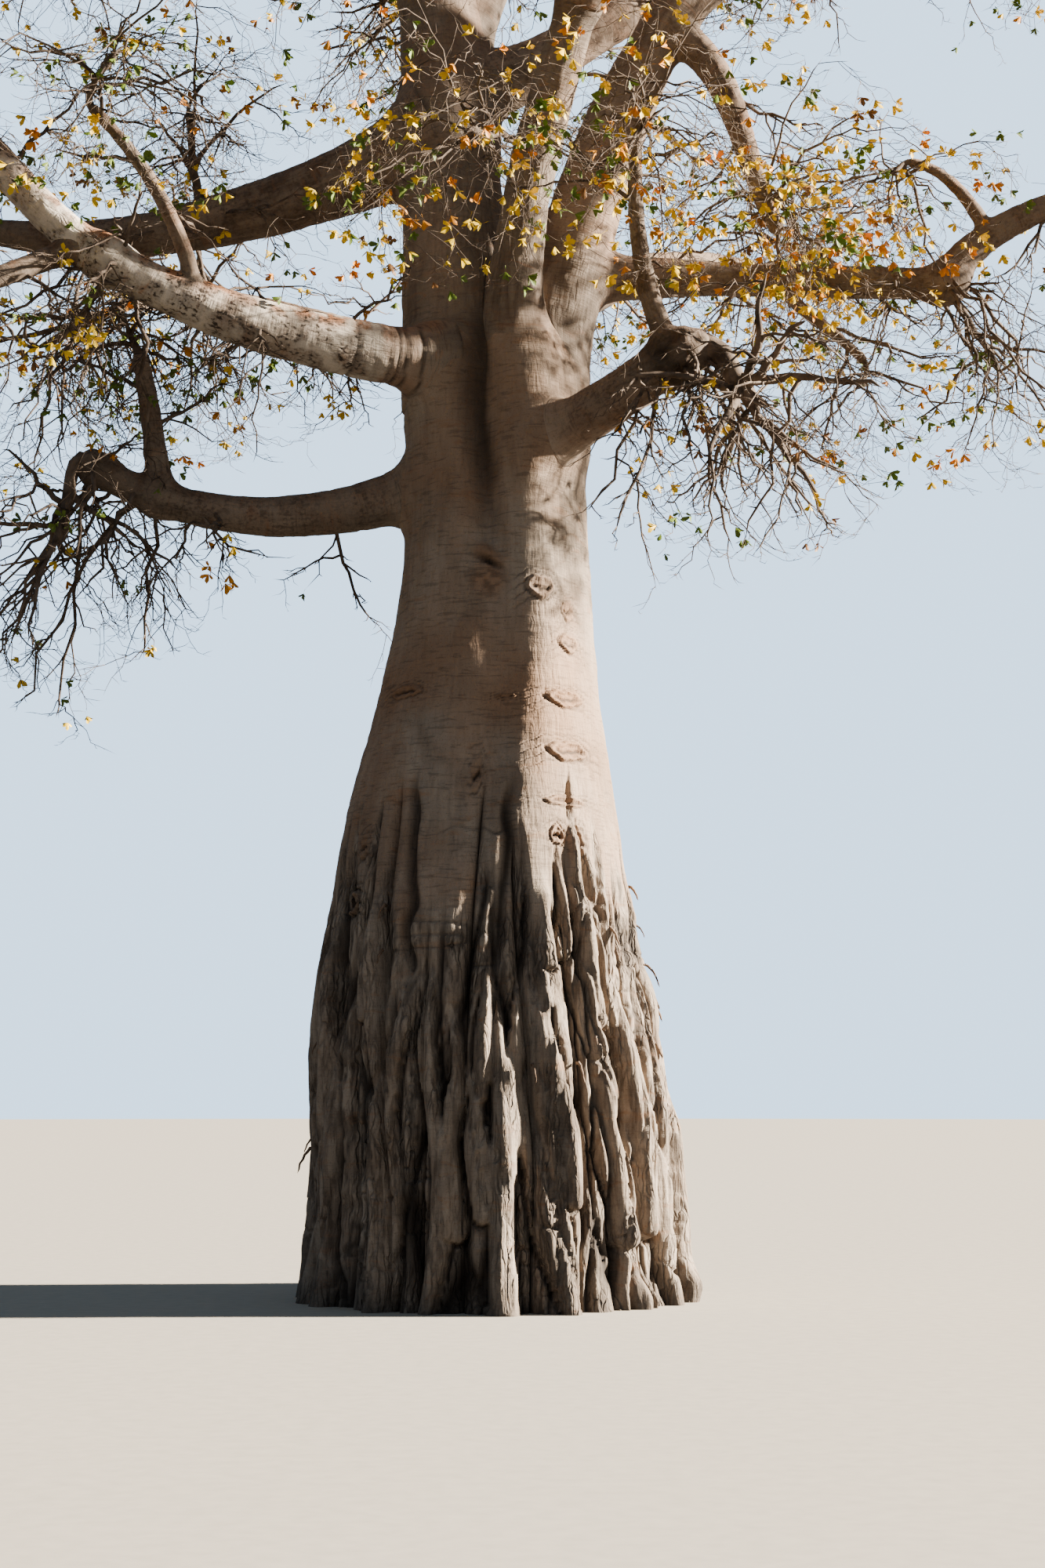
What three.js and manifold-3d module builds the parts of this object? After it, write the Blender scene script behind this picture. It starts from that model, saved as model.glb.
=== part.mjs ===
// A baobab tree, 18 m tall, nearly bare at the end of the dry season.
// Millimetres, +Z up, origin at the centre of the flat cut at ground level.
// The front is towards -Y, the right towards +X. Bearings turn from +X (0) through +Y (90).
import * as THREE from "three";
import { mergeVertices } from "three/addons/utils/BufferGeometryUtils.js";
import Module from "manifold-3d";

const wasm = await Module();
wasm.setup();

// Neighbouring solids stand this far apart, and edges much shorter are left out of the cuts
const CLEARANCE = 0.3;
const CUT_SIZE = 0.02;

// Trunk: a bottle that swells from the neck to the foot
const TRUNK_HEIGHT = 10300;
const NECK_RADIUS = 850;
const FOOT_SWELL = 1030;
const SWELL_HEIGHT = 4950;
const SWELL_EASE = 1350;
const ROOT_FLARE = 70;
const ROOT_FLARE_HEIGHT = 260;
const DOME_HEIGHT = 700;
const LEAN = -140;
const LEAN_HEIGHT = 4100;
const LEAN_SPAN = 2300;
// The shoulder that bulges on the left side below a kink
const SHOULDER_BEARING = 186;
const SHOULDER_HALF_WIDTH = 38;
const SHOULDER_SIZE = 55;
const SHOULDER_HEIGHT = 5050;
const SHOULDER_SPAN = 950;

// Bark folds: rope-like strands with deep creases between them
const STRANDS = 26;
const SIDES_PER_STRAND = 3;
const CREASE_DEPTH = 170;
const CREASE_TOP = 4350;
const CREASE_FADE = 700;
const CREST_HEIGHT = 60;
// The smooth tongue of bark on the front face, with a long crease on each side
const TONGUE_BEARING = 252;
const TONGUE_HALF_WIDTH = 20;
const TONGUE_FOOT = 3700;
const TONGUE_CREASE_TOP = 5250;
// The cleft that runs down from the fork
const CLEFT_BEARING = 257;
const CLEFT_HALF_WIDTH = 12;
const CLEFT_DEPTH = 260;
const CLEFT_FOOT = 7000;
const CLEFT_RUN = 2200;

const LIMB_SIDES = 7;
const LIMB_STEPS = 6;
const LIMB_TAPER = 1.5;

// Each limb: what it grows on, how high (mm on the trunk, share along a limb), its foot's
// offset from that centre line [bearing, distance], its tip, the directions [bearing, rise] in
// which it leaves and arrives, its radius at foot and tip, and the swelling at its foot.
const LIMBS = {
  leader_left: {
    on: "trunk", at: 9300, offset: [180, 330], tip: [-1250, 450, 16100],
    leave: [180, 84], arrive: [175, 68], radii: [630, 190], collar: 0,
  },
  leader_right: {
    on: "trunk", at: 8900, offset: [5, 460], tip: [3400, -150, 15300],
    leave: [10, 85], arrive: [350, 35], radii: [450, 130], collar: 0,
  },
  leader_centre: {
    on: "trunk", at: 9300, offset: [305, 500], tip: [1400, -2000, 15900],
    leave: [200, 77], arrive: [270, 80], radii: [290, 105], collar: 60,
  },
  leader_left_fork: {
    on: "leader_left", at: 0.55, offset: [40, 120], tip: [350, 1500, 16500],
    leave: [20, 66], arrive: [75, 70], radii: [230, 110], collar: 60,
  },
  bough_upper_left: {
    on: "leader_left", at: 0.44, offset: [180, 100], tip: [-6000, 600, 11560],
    leave: [170, -24], arrive: [182, 16], radii: [350, 115], collar: 230,
  },
  bough_lower_left: {
    on: "trunk", at: 9640, offset: [218, 660], tip: [-3900, -1700, 10310],
    leave: [208, -2], arrive: [188, 30], radii: [310, 200], collar: 60,
  },
  bough_lower_left_end: {
    on: "bough_lower_left", at: 1, tip: [-6250, -2150, 12500],
    arrive: [190, 30], radii: [195, 120], collar: 0,
  },
  branch_lower_left_up: {
    on: "bough_lower_left", at: 0.72, offset: [250, 60], tip: [-3950, -2200, 11650],
    leave: [255, 70], arrive: [175, 45], radii: [85, 55], collar: 40,
  },
  branch_lower_left_down: {
    on: "bough_lower_left_end", at: 0.06, offset: [200, 60], tip: [-5650, -2500, 9650],
    leave: [200, -25], arrive: [195, -5], radii: [115, 80], collar: 40,
  },
  bough_lowest_left: {
    on: "trunk", at: 8520, offset: [182, 500], tip: [-4250, -420, 8560],
    leave: [182, -28], arrive: [190, 34], radii: [270, 120], collar: 90,
  },
  branch_lowest_left_up: {
    on: "bough_lowest_left", at: 0.78, offset: [0, 0], tip: [-3750, -350, 9700],
    leave: [160, 80], arrive: [170, 75], radii: [125, 85], collar: 60,
  },
  bough_lower_right: {
    on: "trunk", at: 8720, offset: [302, 480], tip: [1980, -1560, 9420],
    leave: [318, 0], arrive: [340, 22], radii: [270, 195], collar: 150,
  },
  branch_lower_right_up: {
    on: "bough_lower_right", at: 0.9, offset: [270, 30], tip: [1430, -1650, 11650],
    leave: [200, 60], arrive: [300, 80], radii: [105, 60], collar: 60,
  },
  bough_right: {
    on: "leader_right", at: 0.26, offset: [60, 150], tip: [4950, 420, 10790],
    leave: [12, 6], arrive: [0, 0], radii: [200, 165], collar: 180,
  },
  bough_right_end: {
    on: "bough_right", at: 0.975, offset: [0, 0], tip: [7150, 420, 11950],
    leave: [0, 58], arrive: [0, 8], radii: [165, 95], collar: 40,
  },
  branch_right_up: {
    on: "bough_right_end", at: 0.3, offset: [180, 20], tip: [4500, 200, 12080],
    leave: [185, 65], arrive: [185, 5], radii: [80, 50], collar: 20,
  },
  branch_right_down: {
    on: "bough_right", at: 0.54, offset: [0, 0], tip: [3900, 0, 9800],
    leave: [330, -60], arrive: [350, -50], radii: [75, 45], collar: 40,
  },
  bough_upper_right: {
    on: "leader_left", at: 0.5, offset: [30, 120], tip: [2850, 2300, 15900],
    leave: [14, 30], arrive: [35, 45], radii: [300, 130], collar: 140,
  },
  bough_side_right: {
    on: "leader_right", at: 0.66, offset: [300, 40], tip: [2940, -450, 11100],
    leave: [345, -30], arrive: [340, -65], radii: [180, 85], collar: 60,
  },
  bough_top_left: {
    on: "leader_left", at: 0.74, offset: [180, 60], tip: [-4500, 250, 15400],
    leave: [178, 35], arrive: [180, 5], radii: [220, 100], collar: 80,
  },
  bough_back_left: {
    on: "trunk", at: 9650, offset: [120, 450], tip: [-3300, 4500, 11800],
    leave: [124, 20], arrive: [130, 15], radii: [320, 130], collar: 120,
  },
  bough_back: {
    on: "trunk", at: 9500, offset: [85, 450], tip: [450, 5000, 12800],
    leave: [84, 25], arrive: [92, 30], radii: [310, 130], collar: 110,
  },
  bough_back_right: {
    on: "trunk", at: 10000, offset: [52, 400], tip: [3400, 4400, 12300],
    leave: [50, 45], arrive: [50, 8], radii: [260, 120], collar: 60,
  },
  bough_back_high: {
    on: "leader_left", at: 0.52, offset: [95, 100], tip: [-1150, 4100, 15500],
    leave: [98, 38], arrive: [95, 40], radii: [260, 115], collar: 100,
  },
  bough_back_left_low: {
    on: "trunk", at: 9850, offset: [155, 450], tip: [-3750, 2400, 11350],
    leave: [150, 14], arrive: [155, 15], radii: [260, 120], collar: 80,
  },
  bough_front_left: {
    on: "leader_left", at: 0.7, offset: [240, 100], tip: [-2900, -3500, 14900],
    leave: [238, 25], arrive: [230, 0], radii: [230, 110], collar: 80,
  },
  bough_front_right: {
    on: "leader_centre", at: 0.6, offset: [300, 40], tip: [2200, -4900, 14700],
    leave: [300, 30], arrive: [290, 15], radii: [190, 95], collar: 50,
  },
  bough_front: {
    on: "leader_centre", at: 0.68, offset: [250, 30], tip: [-500, -4600, 15400],
    leave: [255, 30], arrive: [248, 15], radii: [160, 85], collar: 40,
  },
  bough_top_right: {
    on: "leader_right", at: 0.7, offset: [20, 40], tip: [5950, 500, 15350],
    leave: [15, 45], arrive: [5, 15], radii: [190, 95], collar: 50,
  },
};

// Each mass of foliage: the limb it grows on, the centre of its space, and how far it reaches.
// Where the limb goes on past it, the mass leaves the limb at a share with its own direction.
const MASSES = {
  foliage_crown_left: { on: "leader_left", centre: [-2100, 300, 16750], reach: 2050 },
  foliage_crown_back: { on: "leader_left_fork", centre: [650, 2200, 16850], reach: 1750 },
  foliage_crown_front: { on: "leader_centre", centre: [1050, -2300, 16450], reach: 2000 },
  foliage_crown_right: { on: "leader_right", centre: [4150, -500, 15850], reach: 2050 },
  foliage_upper_left: { on: "bough_upper_left", centre: [-7050, 900, 11500], reach: 2250 },
  foliage_upper_left_near: {
    on: "bough_upper_left", at: 0.5, leave: [110, 65], radius: 70, centre: [-3400, 300, 12850], reach: 1500,
  },
  foliage_lower_left: { on: "bough_lower_left_end", centre: [-7000, -2400, 13100], reach: 2150 },
  foliage_lower_left_up: { on: "branch_lower_left_up", centre: [-3700, -2700, 12000], reach: 1750 },
  foliage_lower_left_down: { on: "branch_lower_left_down", centre: [-6150, -2700, 9450], reach: 1750 },
  foliage_lowest_left: { on: "bough_lowest_left", centre: [-4500, -600, 7600], reach: 1700 },
  foliage_lowest_left_up: { on: "branch_lowest_left_up", centre: [-3850, -350, 9950], reach: 1250 },
  foliage_lower_right: { on: "bough_lower_right", centre: [2600, -1900, 8650], reach: 1600 },
  foliage_lower_right_up: { on: "branch_lower_right_up", centre: [1500, -2150, 11500], reach: 1700 },
  foliage_right: { on: "bough_right_end", centre: [7750, 450, 12000], reach: 2000 },
  foliage_right_up: { on: "branch_right_up", centre: [4250, 100, 11900], reach: 1500 },
  foliage_right_knee: {
    on: "bough_right", at: 0.985, leave: [350, -60], radius: 60, centre: [5450, 250, 9700], reach: 1450,
  },
  foliage_right_down: { on: "branch_right_down", centre: [3850, -250, 9450], reach: 1200 },
  foliage_upper_right: { on: "bough_upper_right", centre: [2950, 2950, 16600], reach: 1900 },
  foliage_side_right: { on: "bough_side_right", centre: [2800, -900, 11300], reach: 1650 },
  foliage_top_left: { on: "bough_top_left", centre: [-5050, 200, 15400], reach: 2100 },
  foliage_top_right: { on: "bough_top_right", centre: [6500, 600, 15600], reach: 1900 },
  foliage_back_left: { on: "bough_back_left", centre: [-3900, 5200, 12200], reach: 2300 },
  foliage_back: { on: "bough_back", centre: [500, 5800, 13250], reach: 2200 },
  foliage_back_right: { on: "bough_back_right", centre: [4000, 5000, 12900], reach: 1750 },
  foliage_back_high: { on: "bough_back_high", centre: [-1300, 4700, 16200], reach: 2000 },
  foliage_back_left_low: { on: "bough_back_left_low", centre: [-5650, 3100, 10900], reach: 2000 },
  foliage_front_left: { on: "bough_front_left", centre: [-3450, -4150, 14300], reach: 2150 },
  foliage_front_right: { on: "bough_front_right", centre: [2450, -5400, 14450], reach: 2000 },
  foliage_front_high: { on: "bough_front", centre: [-700, -5100, 15400], reach: 1950 },
  foliage_front: {
    on: "leader_centre", at: 0.36, leave: [245, 15], radius: 55, centre: [-300, -2650, 11250], reach: 1700,
  },
};

// Growth of a mass
const FLATNESS = 0.9;
const STEM_SHARE = 0.85;
const STEM_SIDES = 4;
const BRANCHES = 7;
const TWIGS_PER_BRANCH = 2;
const SPRAYS = 6;
// A branch that finds no room is tried again, shorter each time
const TRIES = 3;
const SHORTER = 0.8;
const SPRAY_LENGTH = 420;
const SPRAY_WIDTH = 230;
const SPRAY_THICKNESS = 14;
const SPRAY_SINK = 60;
const TWIG_MARGIN = 45;
const SPACE_MARGIN = 0.05;
const GOLDEN_TURN = Math.PI * (3 - Math.sqrt(5));

const BARK_COLOUR = "#8f7c6a";
const FOLIAGE_COLOUR = "#9a8338";

const vector = (values) => new THREE.Vector3(...values);
const mix = (a, b, share) => a + (b - a) * share;
const smooth = (x) => THREE.MathUtils.smoothstep(x, 0, 1);

// A unit vector from a bearing and a rise in degrees
function direction([bearing, rise]) {
  const b = THREE.MathUtils.degToRad(bearing);
  const r = THREE.MathUtils.degToRad(rise);
  return new THREE.Vector3(Math.cos(b) * Math.cos(r), Math.sin(b) * Math.cos(r), Math.sin(r));
}

// A repeatable stream of numbers from 0 to 1
function seeded(seed) {
  let state = seed >>> 0;
  return () => {
    state = (Math.imul(state, 1664525) + 1013904223) >>> 0;
    return state / 4294967296;
  };
}

// A limb's centre line: it leaves its foot and reaches its tip in the given directions
function limbCurve(foot, leave, tip, arrive) {
  const handle = foot.distanceTo(tip) / 3;
  return new THREE.CubicBezierCurve3(
    foot,
    foot.clone().addScaledVector(leave, handle),
    tip.clone().addScaledVector(arrive, -handle),
    tip,
  );
}

// Joins the doubled vertices along a shape's seams and edges while it still has unit size
function weld(geometry) {
  geometry.deleteAttribute("normal");
  geometry.deleteAttribute("uv");
  return mergeVertices(geometry, 1e-4);
}

// Bends a closed cylinder or cone of unit radius along a curve, with a radius for each share.
// Its ends are moved out along the curve by the given overrun.
function bend(geometry, curve, steps, radiusAt, pointed, overrun = 0) {
  const rings = [];
  let side = new THREE.Vector3(0.31, 0.72, 0.62);
  for (let i = 0; i <= steps; i++) {
    const tangent = curve.getTangent(i / steps);
    side = side.clone().addScaledVector(tangent, -side.dot(tangent)).normalize();
    const other = side.clone().cross(tangent);
    const centre = curve.getPoint(i / steps);
    if (i === 0) centre.addScaledVector(tangent, -overrun);
    if (i === steps) centre.addScaledVector(tangent, overrun);
    rings.push({ centre, side, other, radius: radiusAt(i / steps) });
  }
  const position = geometry.getAttribute("position");
  for (let i = 0; i < position.count; i++) {
    const share = position.getY(i) + 0.5;
    const ring = rings[Math.round(share * steps)];
    const scale = pointed && share < 1 ? ring.radius / (1 - share) : ring.radius;
    const point = ring.centre
      .clone()
      .addScaledVector(ring.side, position.getX(i) * scale)
      .addScaledVector(ring.other, position.getZ(i) * scale);
    position.setXYZ(i, point.x, point.y, point.z);
  }
  return geometry;
}

// three.js geometry to a manifold solid, and back
function solidOf(geometry) {
  return new wasm.Manifold(
    new wasm.Mesh({
      numProp: 3,
      vertProperties: geometry.getAttribute("position").array,
      triVerts: new Uint32Array(geometry.index.array),
    }),
  );
}

function geometryOf(solid) {
  const mesh = solid.getMesh();
  const geometry = new THREE.BufferGeometry();
  geometry.setAttribute("position", new THREE.BufferAttribute(mesh.vertProperties, 3));
  geometry.setIndex(new THREE.BufferAttribute(mesh.triVerts, 1));
  geometry.computeVertexNormals();
  return geometry;
}

// A solid cut back from its neighbours, without the scraps that this leaves
function cutBack(solid, neighbours) {
  const cut = wasm.Manifold.difference([solid, ...neighbours]).simplify(CUT_SIZE);
  return cut.decompose().reduce((a, b) => (a.volume() > b.volume() ? a : b));
}

// Trunk

// Radius of the bottle without its folds
function bottleRadius(z) {
  const swell = FOOT_SWELL / (1 + Math.exp((z - SWELL_HEIGHT) / SWELL_EASE));
  return NECK_RADIUS + swell + ROOT_FLARE * Math.exp(-z / ROOT_FLARE_HEIGHT);
}

const trunkCentre = (z) => LEAN * Math.exp(-(((z - LEAN_HEIGHT) / LEAN_SPAN) ** 2));

// Shortest turn between two bearings, in degrees
const turnBetween = (a, b) => Math.abs(((a - b + 540) % 360) - 180);

// The strands wander sideways: the bearing in turns for a place in turns round the grid
function strandTurn(u, z) {
  const wave = (count, size, phase, climb) =>
    size * Math.sin(2 * Math.PI * count * u + phase + z / climb);
  return u + wave(5, 0.011, 0.7, 2600) + wave(9, 0.0055, 2.1, -1500) + wave(2, 0.012, 4.0, 5200);
}

// Where each crease ends at its top, and how deep it is
const creases = Array.from({ length: STRANDS }, (_, i) => {
  const random = seeded(700 + i * 37);
  random();
  const bearing = strandTurn(i / STRANDS, CREASE_TOP) * 360;
  const fromTongue = turnBetween(bearing, TONGUE_BEARING);
  const beside = Math.abs(fromTongue - TONGUE_HALF_WIDTH) < 8;
  const inside = fromTongue < TONGUE_HALF_WIDTH - 8;
  const top = beside ? TONGUE_CREASE_TOP : inside ? TONGUE_FOOT : CREASE_TOP + 900 * (random() - 0.45);
  return { top, depth: CREASE_DEPTH * mix(0.55, 1.25, random()), crest: random() };
});

const creaseDepth = (i, z) => {
  const crease = creases[i % STRANDS];
  return crease.depth * smooth((crease.top - z) / CREASE_FADE);
};

// Radius and bearing of the trunk at a place in turns round the grid and a height
function trunkSurface(u, z) {
  const bearing = strandTurn(u, z) * 360;
  const along = (((u % 1) + 1) % 1) * STRANDS;
  const strand = Math.floor(along + 1e-9);
  const across = Math.max(0, along - strand);
  const round = Math.sqrt(Math.max(0, 1 - (2 * across - 1) ** 2));
  const depth = mix(creaseDepth(strand, z), creaseDepth(strand + 1, z), across);
  const crest = CREST_HEIGHT * creases[strand % STRANDS].crest * smooth((CREASE_TOP - z) / CREASE_FADE);
  const cleft =
    CLEFT_DEPTH *
    smooth((z - CLEFT_FOOT) / CLEFT_RUN) *
    Math.exp(-((turnBetween(bearing, CLEFT_BEARING) / CLEFT_HALF_WIDTH) ** 2));
  const shoulder =
    SHOULDER_SIZE *
    Math.exp(-(((z - SHOULDER_HEIGHT) / SHOULDER_SPAN) ** 2)) *
    Math.exp(-((turnBetween(bearing, SHOULDER_BEARING) / SHOULDER_HALF_WIDTH) ** 2));
  const dome = Math.max(0, (z - (TRUNK_HEIGHT - DOME_HEIGHT)) / DOME_HEIGHT);
  const radius = bottleRadius(z) - depth * (1 - round) + crest * round + shoulder - cleft;
  return { bearing, radius: radius * Math.sqrt(Math.max(0.04, 1 - dome * dome)) };
}

// Rows of the trunk's grid, closer together in the folds and the dome
const trunkRows = [
  0, 250, 700, 1250, 1850, 2450, 3000, 3500, 4000, 4450, 4900, 5400, 6200, 7100, 8000, 8900, 9600, 10000, 10300,
];

function trunkSolid(grow) {
  const sides = STRANDS * SIDES_PER_STRAND;
  const steps = trunkRows.length - 1;
  const geometry = weld(new THREE.CylinderGeometry(1, 1, 1, sides, steps));
  const position = geometry.getAttribute("position");
  for (let i = 0; i < position.count; i++) {
    const x = position.getX(i);
    const y = -position.getZ(i);
    const row = Math.round((position.getY(i) + 0.5) * steps);
    const z = trunkRows[row];
    const lift = row === 0 ? -grow : row === steps ? grow : 0;
    if (Math.hypot(x, y) < 0.5) {
      position.setXYZ(i, trunkCentre(z), 0, z + lift);
      continue;
    }
    const side = Math.round((Math.atan2(y, x) / (2 * Math.PI)) * sides);
    const { bearing, radius } = trunkSurface(((side + sides) % sides) / sides, z);
    const angle = THREE.MathUtils.degToRad(bearing);
    const out = radius + grow;
    position.setXYZ(i, trunkCentre(z) + out * Math.cos(angle), out * Math.sin(angle), z + lift);
  }
  return solidOf(geometry);
}

// Limbs

const limbs = new Map();

function limbRadius(spec, share, length) {
  const [foot, tip] = spec.radii;
  const collar = spec.collar * Math.exp((-share * length) / (foot + spec.collar));
  return mix(foot, tip, share ** LIMB_TAPER) + collar;
}

function placeLimb(name, spec) {
  const parent = limbs.get(spec.on);
  let foot;
  let leave;
  if (spec.at === 1) {
    leave = parent.curve.getTangent(1);
    foot = parent.curve.getPoint(1);
  } else {
    leave = direction(spec.leave);
    foot = parent ? parent.curve.getPoint(spec.at) : vector([trunkCentre(spec.at), 0, spec.at]);
    foot.addScaledVector(direction([spec.offset[0], 0]), spec.offset[1]);
  }
  const curve = limbCurve(foot, leave, vector(spec.tip), direction(spec.arrive));
  const length = curve.getLength();
  const radiusAt = (share) => limbRadius(spec, share, length);
  limbs.set(name, { curve, radiusAt, length, line: curve.getPoints(LIMB_STEPS) });
}

function limbSolid(name, grow) {
  const { curve, radiusAt } = limbs.get(name);
  const geometry = weld(new THREE.CylinderGeometry(1, 1, 1, LIMB_SIDES, LIMB_STEPS));
  return solidOf(bend(geometry, curve, LIMB_STEPS, (share) => radiusAt(share) + grow, false, grow));
}

// Foliage

// How far a point lies out from the middle of a mass's space: 1 at its rim
const outness = (mass, point) =>
  Math.hypot(
    (point.x - mass.centre[0]) / mass.reach,
    (point.y - mass.centre[1]) / mass.reach,
    (point.z - mass.centre[2]) / (mass.reach * FLATNESS),
  );

// True where a point is in the mass's own space and no other mass's
function inOwnSpace(name, point) {
  const own = outness(MASSES[name], point);
  return (
    own < 1 &&
    Object.entries(MASSES).every(
      ([other, mass]) => other === name || outness(mass, point) - own > SPACE_MARGIN,
    )
  );
}

// True where a point stands clear of the trunk and of every limb
function clearOfLimbs(point, room) {
  const trunkReach = bottleRadius(point.z) + CREST_HEIGHT + room;
  if (point.z < TRUNK_HEIGHT && Math.hypot(point.x, point.y) < trunkReach) return false;
  const nearest = new THREE.Vector3();
  for (const { line, radiusAt } of limbs.values()) {
    for (let i = 0; i < line.length - 1; i++) {
      const segment = new THREE.Line3(line[i], line[i + 1]);
      const share = segment.closestPointToPointParameter(point, true);
      segment.at(share, nearest);
      const radius = radiusAt((i + share) / (line.length - 1));
      if (nearest.distanceTo(point) < radius + room) return false;
    }
  }
  return true;
}

// The rule of growth: a stem to the middle of the space, branches that fan out evenly to its
// rim and hang a little, and twigs that leave the branches by turns and lift at their tips.
function growMass(name, index) {
  const mass = MASSES[name];
  const random = seeded(9001 + index * 7919);
  const bough = limbs.get(mass.on);
  const centre = vector(mass.centre);
  const at = mass.at ?? 1;
  const leave = mass.leave ? direction(mass.leave) : bough.curve.getTangent(1);
  const foot = bough.curve.getPoint(at);
  const footRadius = mass.radius ?? bough.radiusAt(1) * STEM_SHARE;
  const inward = centre.clone().sub(foot).normalize();
  const stem = {
    curve: limbCurve(foot, leave, centre, inward),
    radii: [footRadius, footRadius * 0.45],
  };
  const branches = [];
  const grown = new Set();
  const twigs = [];
  const isClear = (curve, radius) =>
    [0.45, 0.7, 0.85, 1].every((share) => {
      const point = curve.getPoint(share);
      return inOwnSpace(name, point) && clearOfLimbs(point, radius + TWIG_MARGIN);
    });
  for (let k = 0; k < BRANCHES * TRIES; k++) {
    const attempt = Math.floor(k / BRANCHES);
    if (grown.has(k % BRANCHES)) continue;
    const level = 1 - (2 * ((k % BRANCHES) + 0.5)) / BRANCHES;
    const turn = k * GOLDEN_TURN + index;
    const flat = Math.sqrt(1 - level * level);
    const outward = new THREE.Vector3(Math.cos(turn) * flat, Math.sin(turn) * flat, level);
    const share = mix(0.45, 0.97, random());
    const reach = mass.reach * mix(0.84, 0.97, random()) * SHORTER ** attempt;
    const start = stem.curve.getPoint(share);
    const along = stem.curve.getTangent(share);
    const tip = centre
      .clone()
      .addScaledVector(outward, reach)
      .setZ(centre.z + outward.z * reach * FLATNESS);
    const set = along.clone().add(outward).setZ(along.z + outward.z + 0.35).normalize();
    const arrive = tip.clone().sub(start).normalize();
    arrive.setZ(arrive.z - 0.45).normalize();
    const radius = mix(stem.radii[0], stem.radii[1], share) * 0.6;
    const curve = limbCurve(start, set, tip, arrive);
    if (!isClear(curve, radius)) continue;
    branches.push({ curve, radii: [radius, radius * 0.25] });
    grown.add(k % BRANCHES);
  }
  branches.forEach((branch, k) => {
    for (let m = 0; m < TWIGS_PER_BRANCH; m++) {
      const share = (m + mix(0.35, 0.85, random())) / TWIGS_PER_BRANCH;
      const start = branch.curve.getPoint(share);
      const along = branch.curve.getTangent(share);
      const turn = (k * 2 + m) * GOLDEN_TURN + random();
      const sideways = new THREE.Vector3(Math.cos(turn), Math.sin(turn), mix(-0.7, 0.3, random()));
      const set = along.clone().multiplyScalar(0.6).add(sideways).normalize();
      const length = mass.reach * mix(0.38, 0.6, random());
      const tip = start.clone().addScaledVector(set, length);
      const arrive = set.clone().setZ(set.z + 0.5).normalize();
      const radius = mix(branch.radii[0], branch.radii[1], share) * 0.7;
      const curve = limbCurve(start, set, tip, arrive);
      if (isClear(curve, radius)) twigs.push({ curve, radii: [radius, radius * 0.3] });
    }
  });
  return { stem, branches, twigs, random, isFree: (p) => inOwnSpace(name, p) && clearOfLimbs(p, 60) };
}

// A three-sided shoot that runs out to a point
function shootSolid({ curve, radii }, steps) {
  const geometry = weld(new THREE.ConeGeometry(1, 1, 3, steps));
  const radiusAt = (share) => mix(radii[0], radii[1], share);
  return solidOf(bend(geometry, curve, steps, (share) => (share < 1 ? radiusAt(share) : 0), true));
}

// A spray of leaves as one eight-faced blade, its root sunk into the shoot
function spraySolid(root, along, roll) {
  const geometry = weld(new THREE.OctahedronGeometry(1));
  geometry.scale(SPRAY_LENGTH / 2, SPRAY_WIDTH / 2, SPRAY_THICKNESS / 2);
  const turn = new THREE.Quaternion().setFromUnitVectors(new THREE.Vector3(1, 0, 0), along);
  turn.multiply(new THREE.Quaternion().setFromAxisAngle(new THREE.Vector3(1, 0, 0), roll));
  geometry.applyQuaternion(turn);
  const middle = root.clone().addScaledVector(along, SPRAY_LENGTH / 2 - SPRAY_SINK);
  geometry.translate(middle.x, middle.y, middle.z);
  return solidOf(geometry);
}

function massSolid(name, index) {
  const { stem, branches, twigs, random, isFree } = growMass(name, index);
  const stemGeometry = weld(new THREE.CylinderGeometry(1, 1, 1, STEM_SIDES, 3));
  const stemRadius = (share) => mix(stem.radii[0], stem.radii[1], share);
  const solids = [solidOf(bend(stemGeometry, stem.curve, 3, stemRadius, false))];
  branches.forEach((branch) => solids.push(shootSolid(branch, 2)));
  twigs.forEach((twig) => solids.push(shootSolid(twig, 1)));
  const shoots = [...twigs, ...branches];
  for (let k = 0; k < SPRAYS && shoots.length; k++) {
    const shoot = shoots[k % shoots.length];
    const share = mix(0.35, 0.85, random());
    const hang = new THREE.Vector3(mix(-1, 1, random()), mix(-1, 1, random()), mix(-1.2, 0.1, random()));
    const along = hang.normalize();
    const root = shoot.curve.getPoint(share);
    const tip = root.clone().addScaledVector(along, SPRAY_LENGTH);
    const roll = random() * Math.PI;
    if (isFree(tip) && isFree(root.clone().lerp(tip, 0.5))) solids.push(spraySolid(root, along, roll));
  }
  return cutBack(wasm.Manifold.union(solids), wider);
}

// The tree

const barkMaterial = new THREE.MeshStandardMaterial({ color: BARK_COLOUR, roughness: 0.9, metalness: 0 });
const foliageMaterial = new THREE.MeshStandardMaterial({ color: FOLIAGE_COLOUR, roughness: 0.8, metalness: 0 });
const tree = new THREE.Group();

function addNode(name, solid, material) {
  const mesh = new THREE.Mesh(geometryOf(solid), material);
  mesh.name = name;
  tree.add(mesh);
}

Object.entries(LIMBS).forEach(([name, spec]) => placeLimb(name, spec));
addNode("trunk", trunkSolid(0), barkMaterial);

// Each limb is cut back from the trunk and from every limb placed before it
const wider = [trunkSolid(CLEARANCE)];
for (const name of Object.keys(LIMBS)) {
  addNode(name, cutBack(limbSolid(name, 0), wider), barkMaterial);
  wider.push(limbSolid(name, CLEARANCE));
}

Object.keys(MASSES).forEach((name, index) => addNode(name, massSolid(name, index), foliageMaterial));

export default tree;
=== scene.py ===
import math

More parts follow.
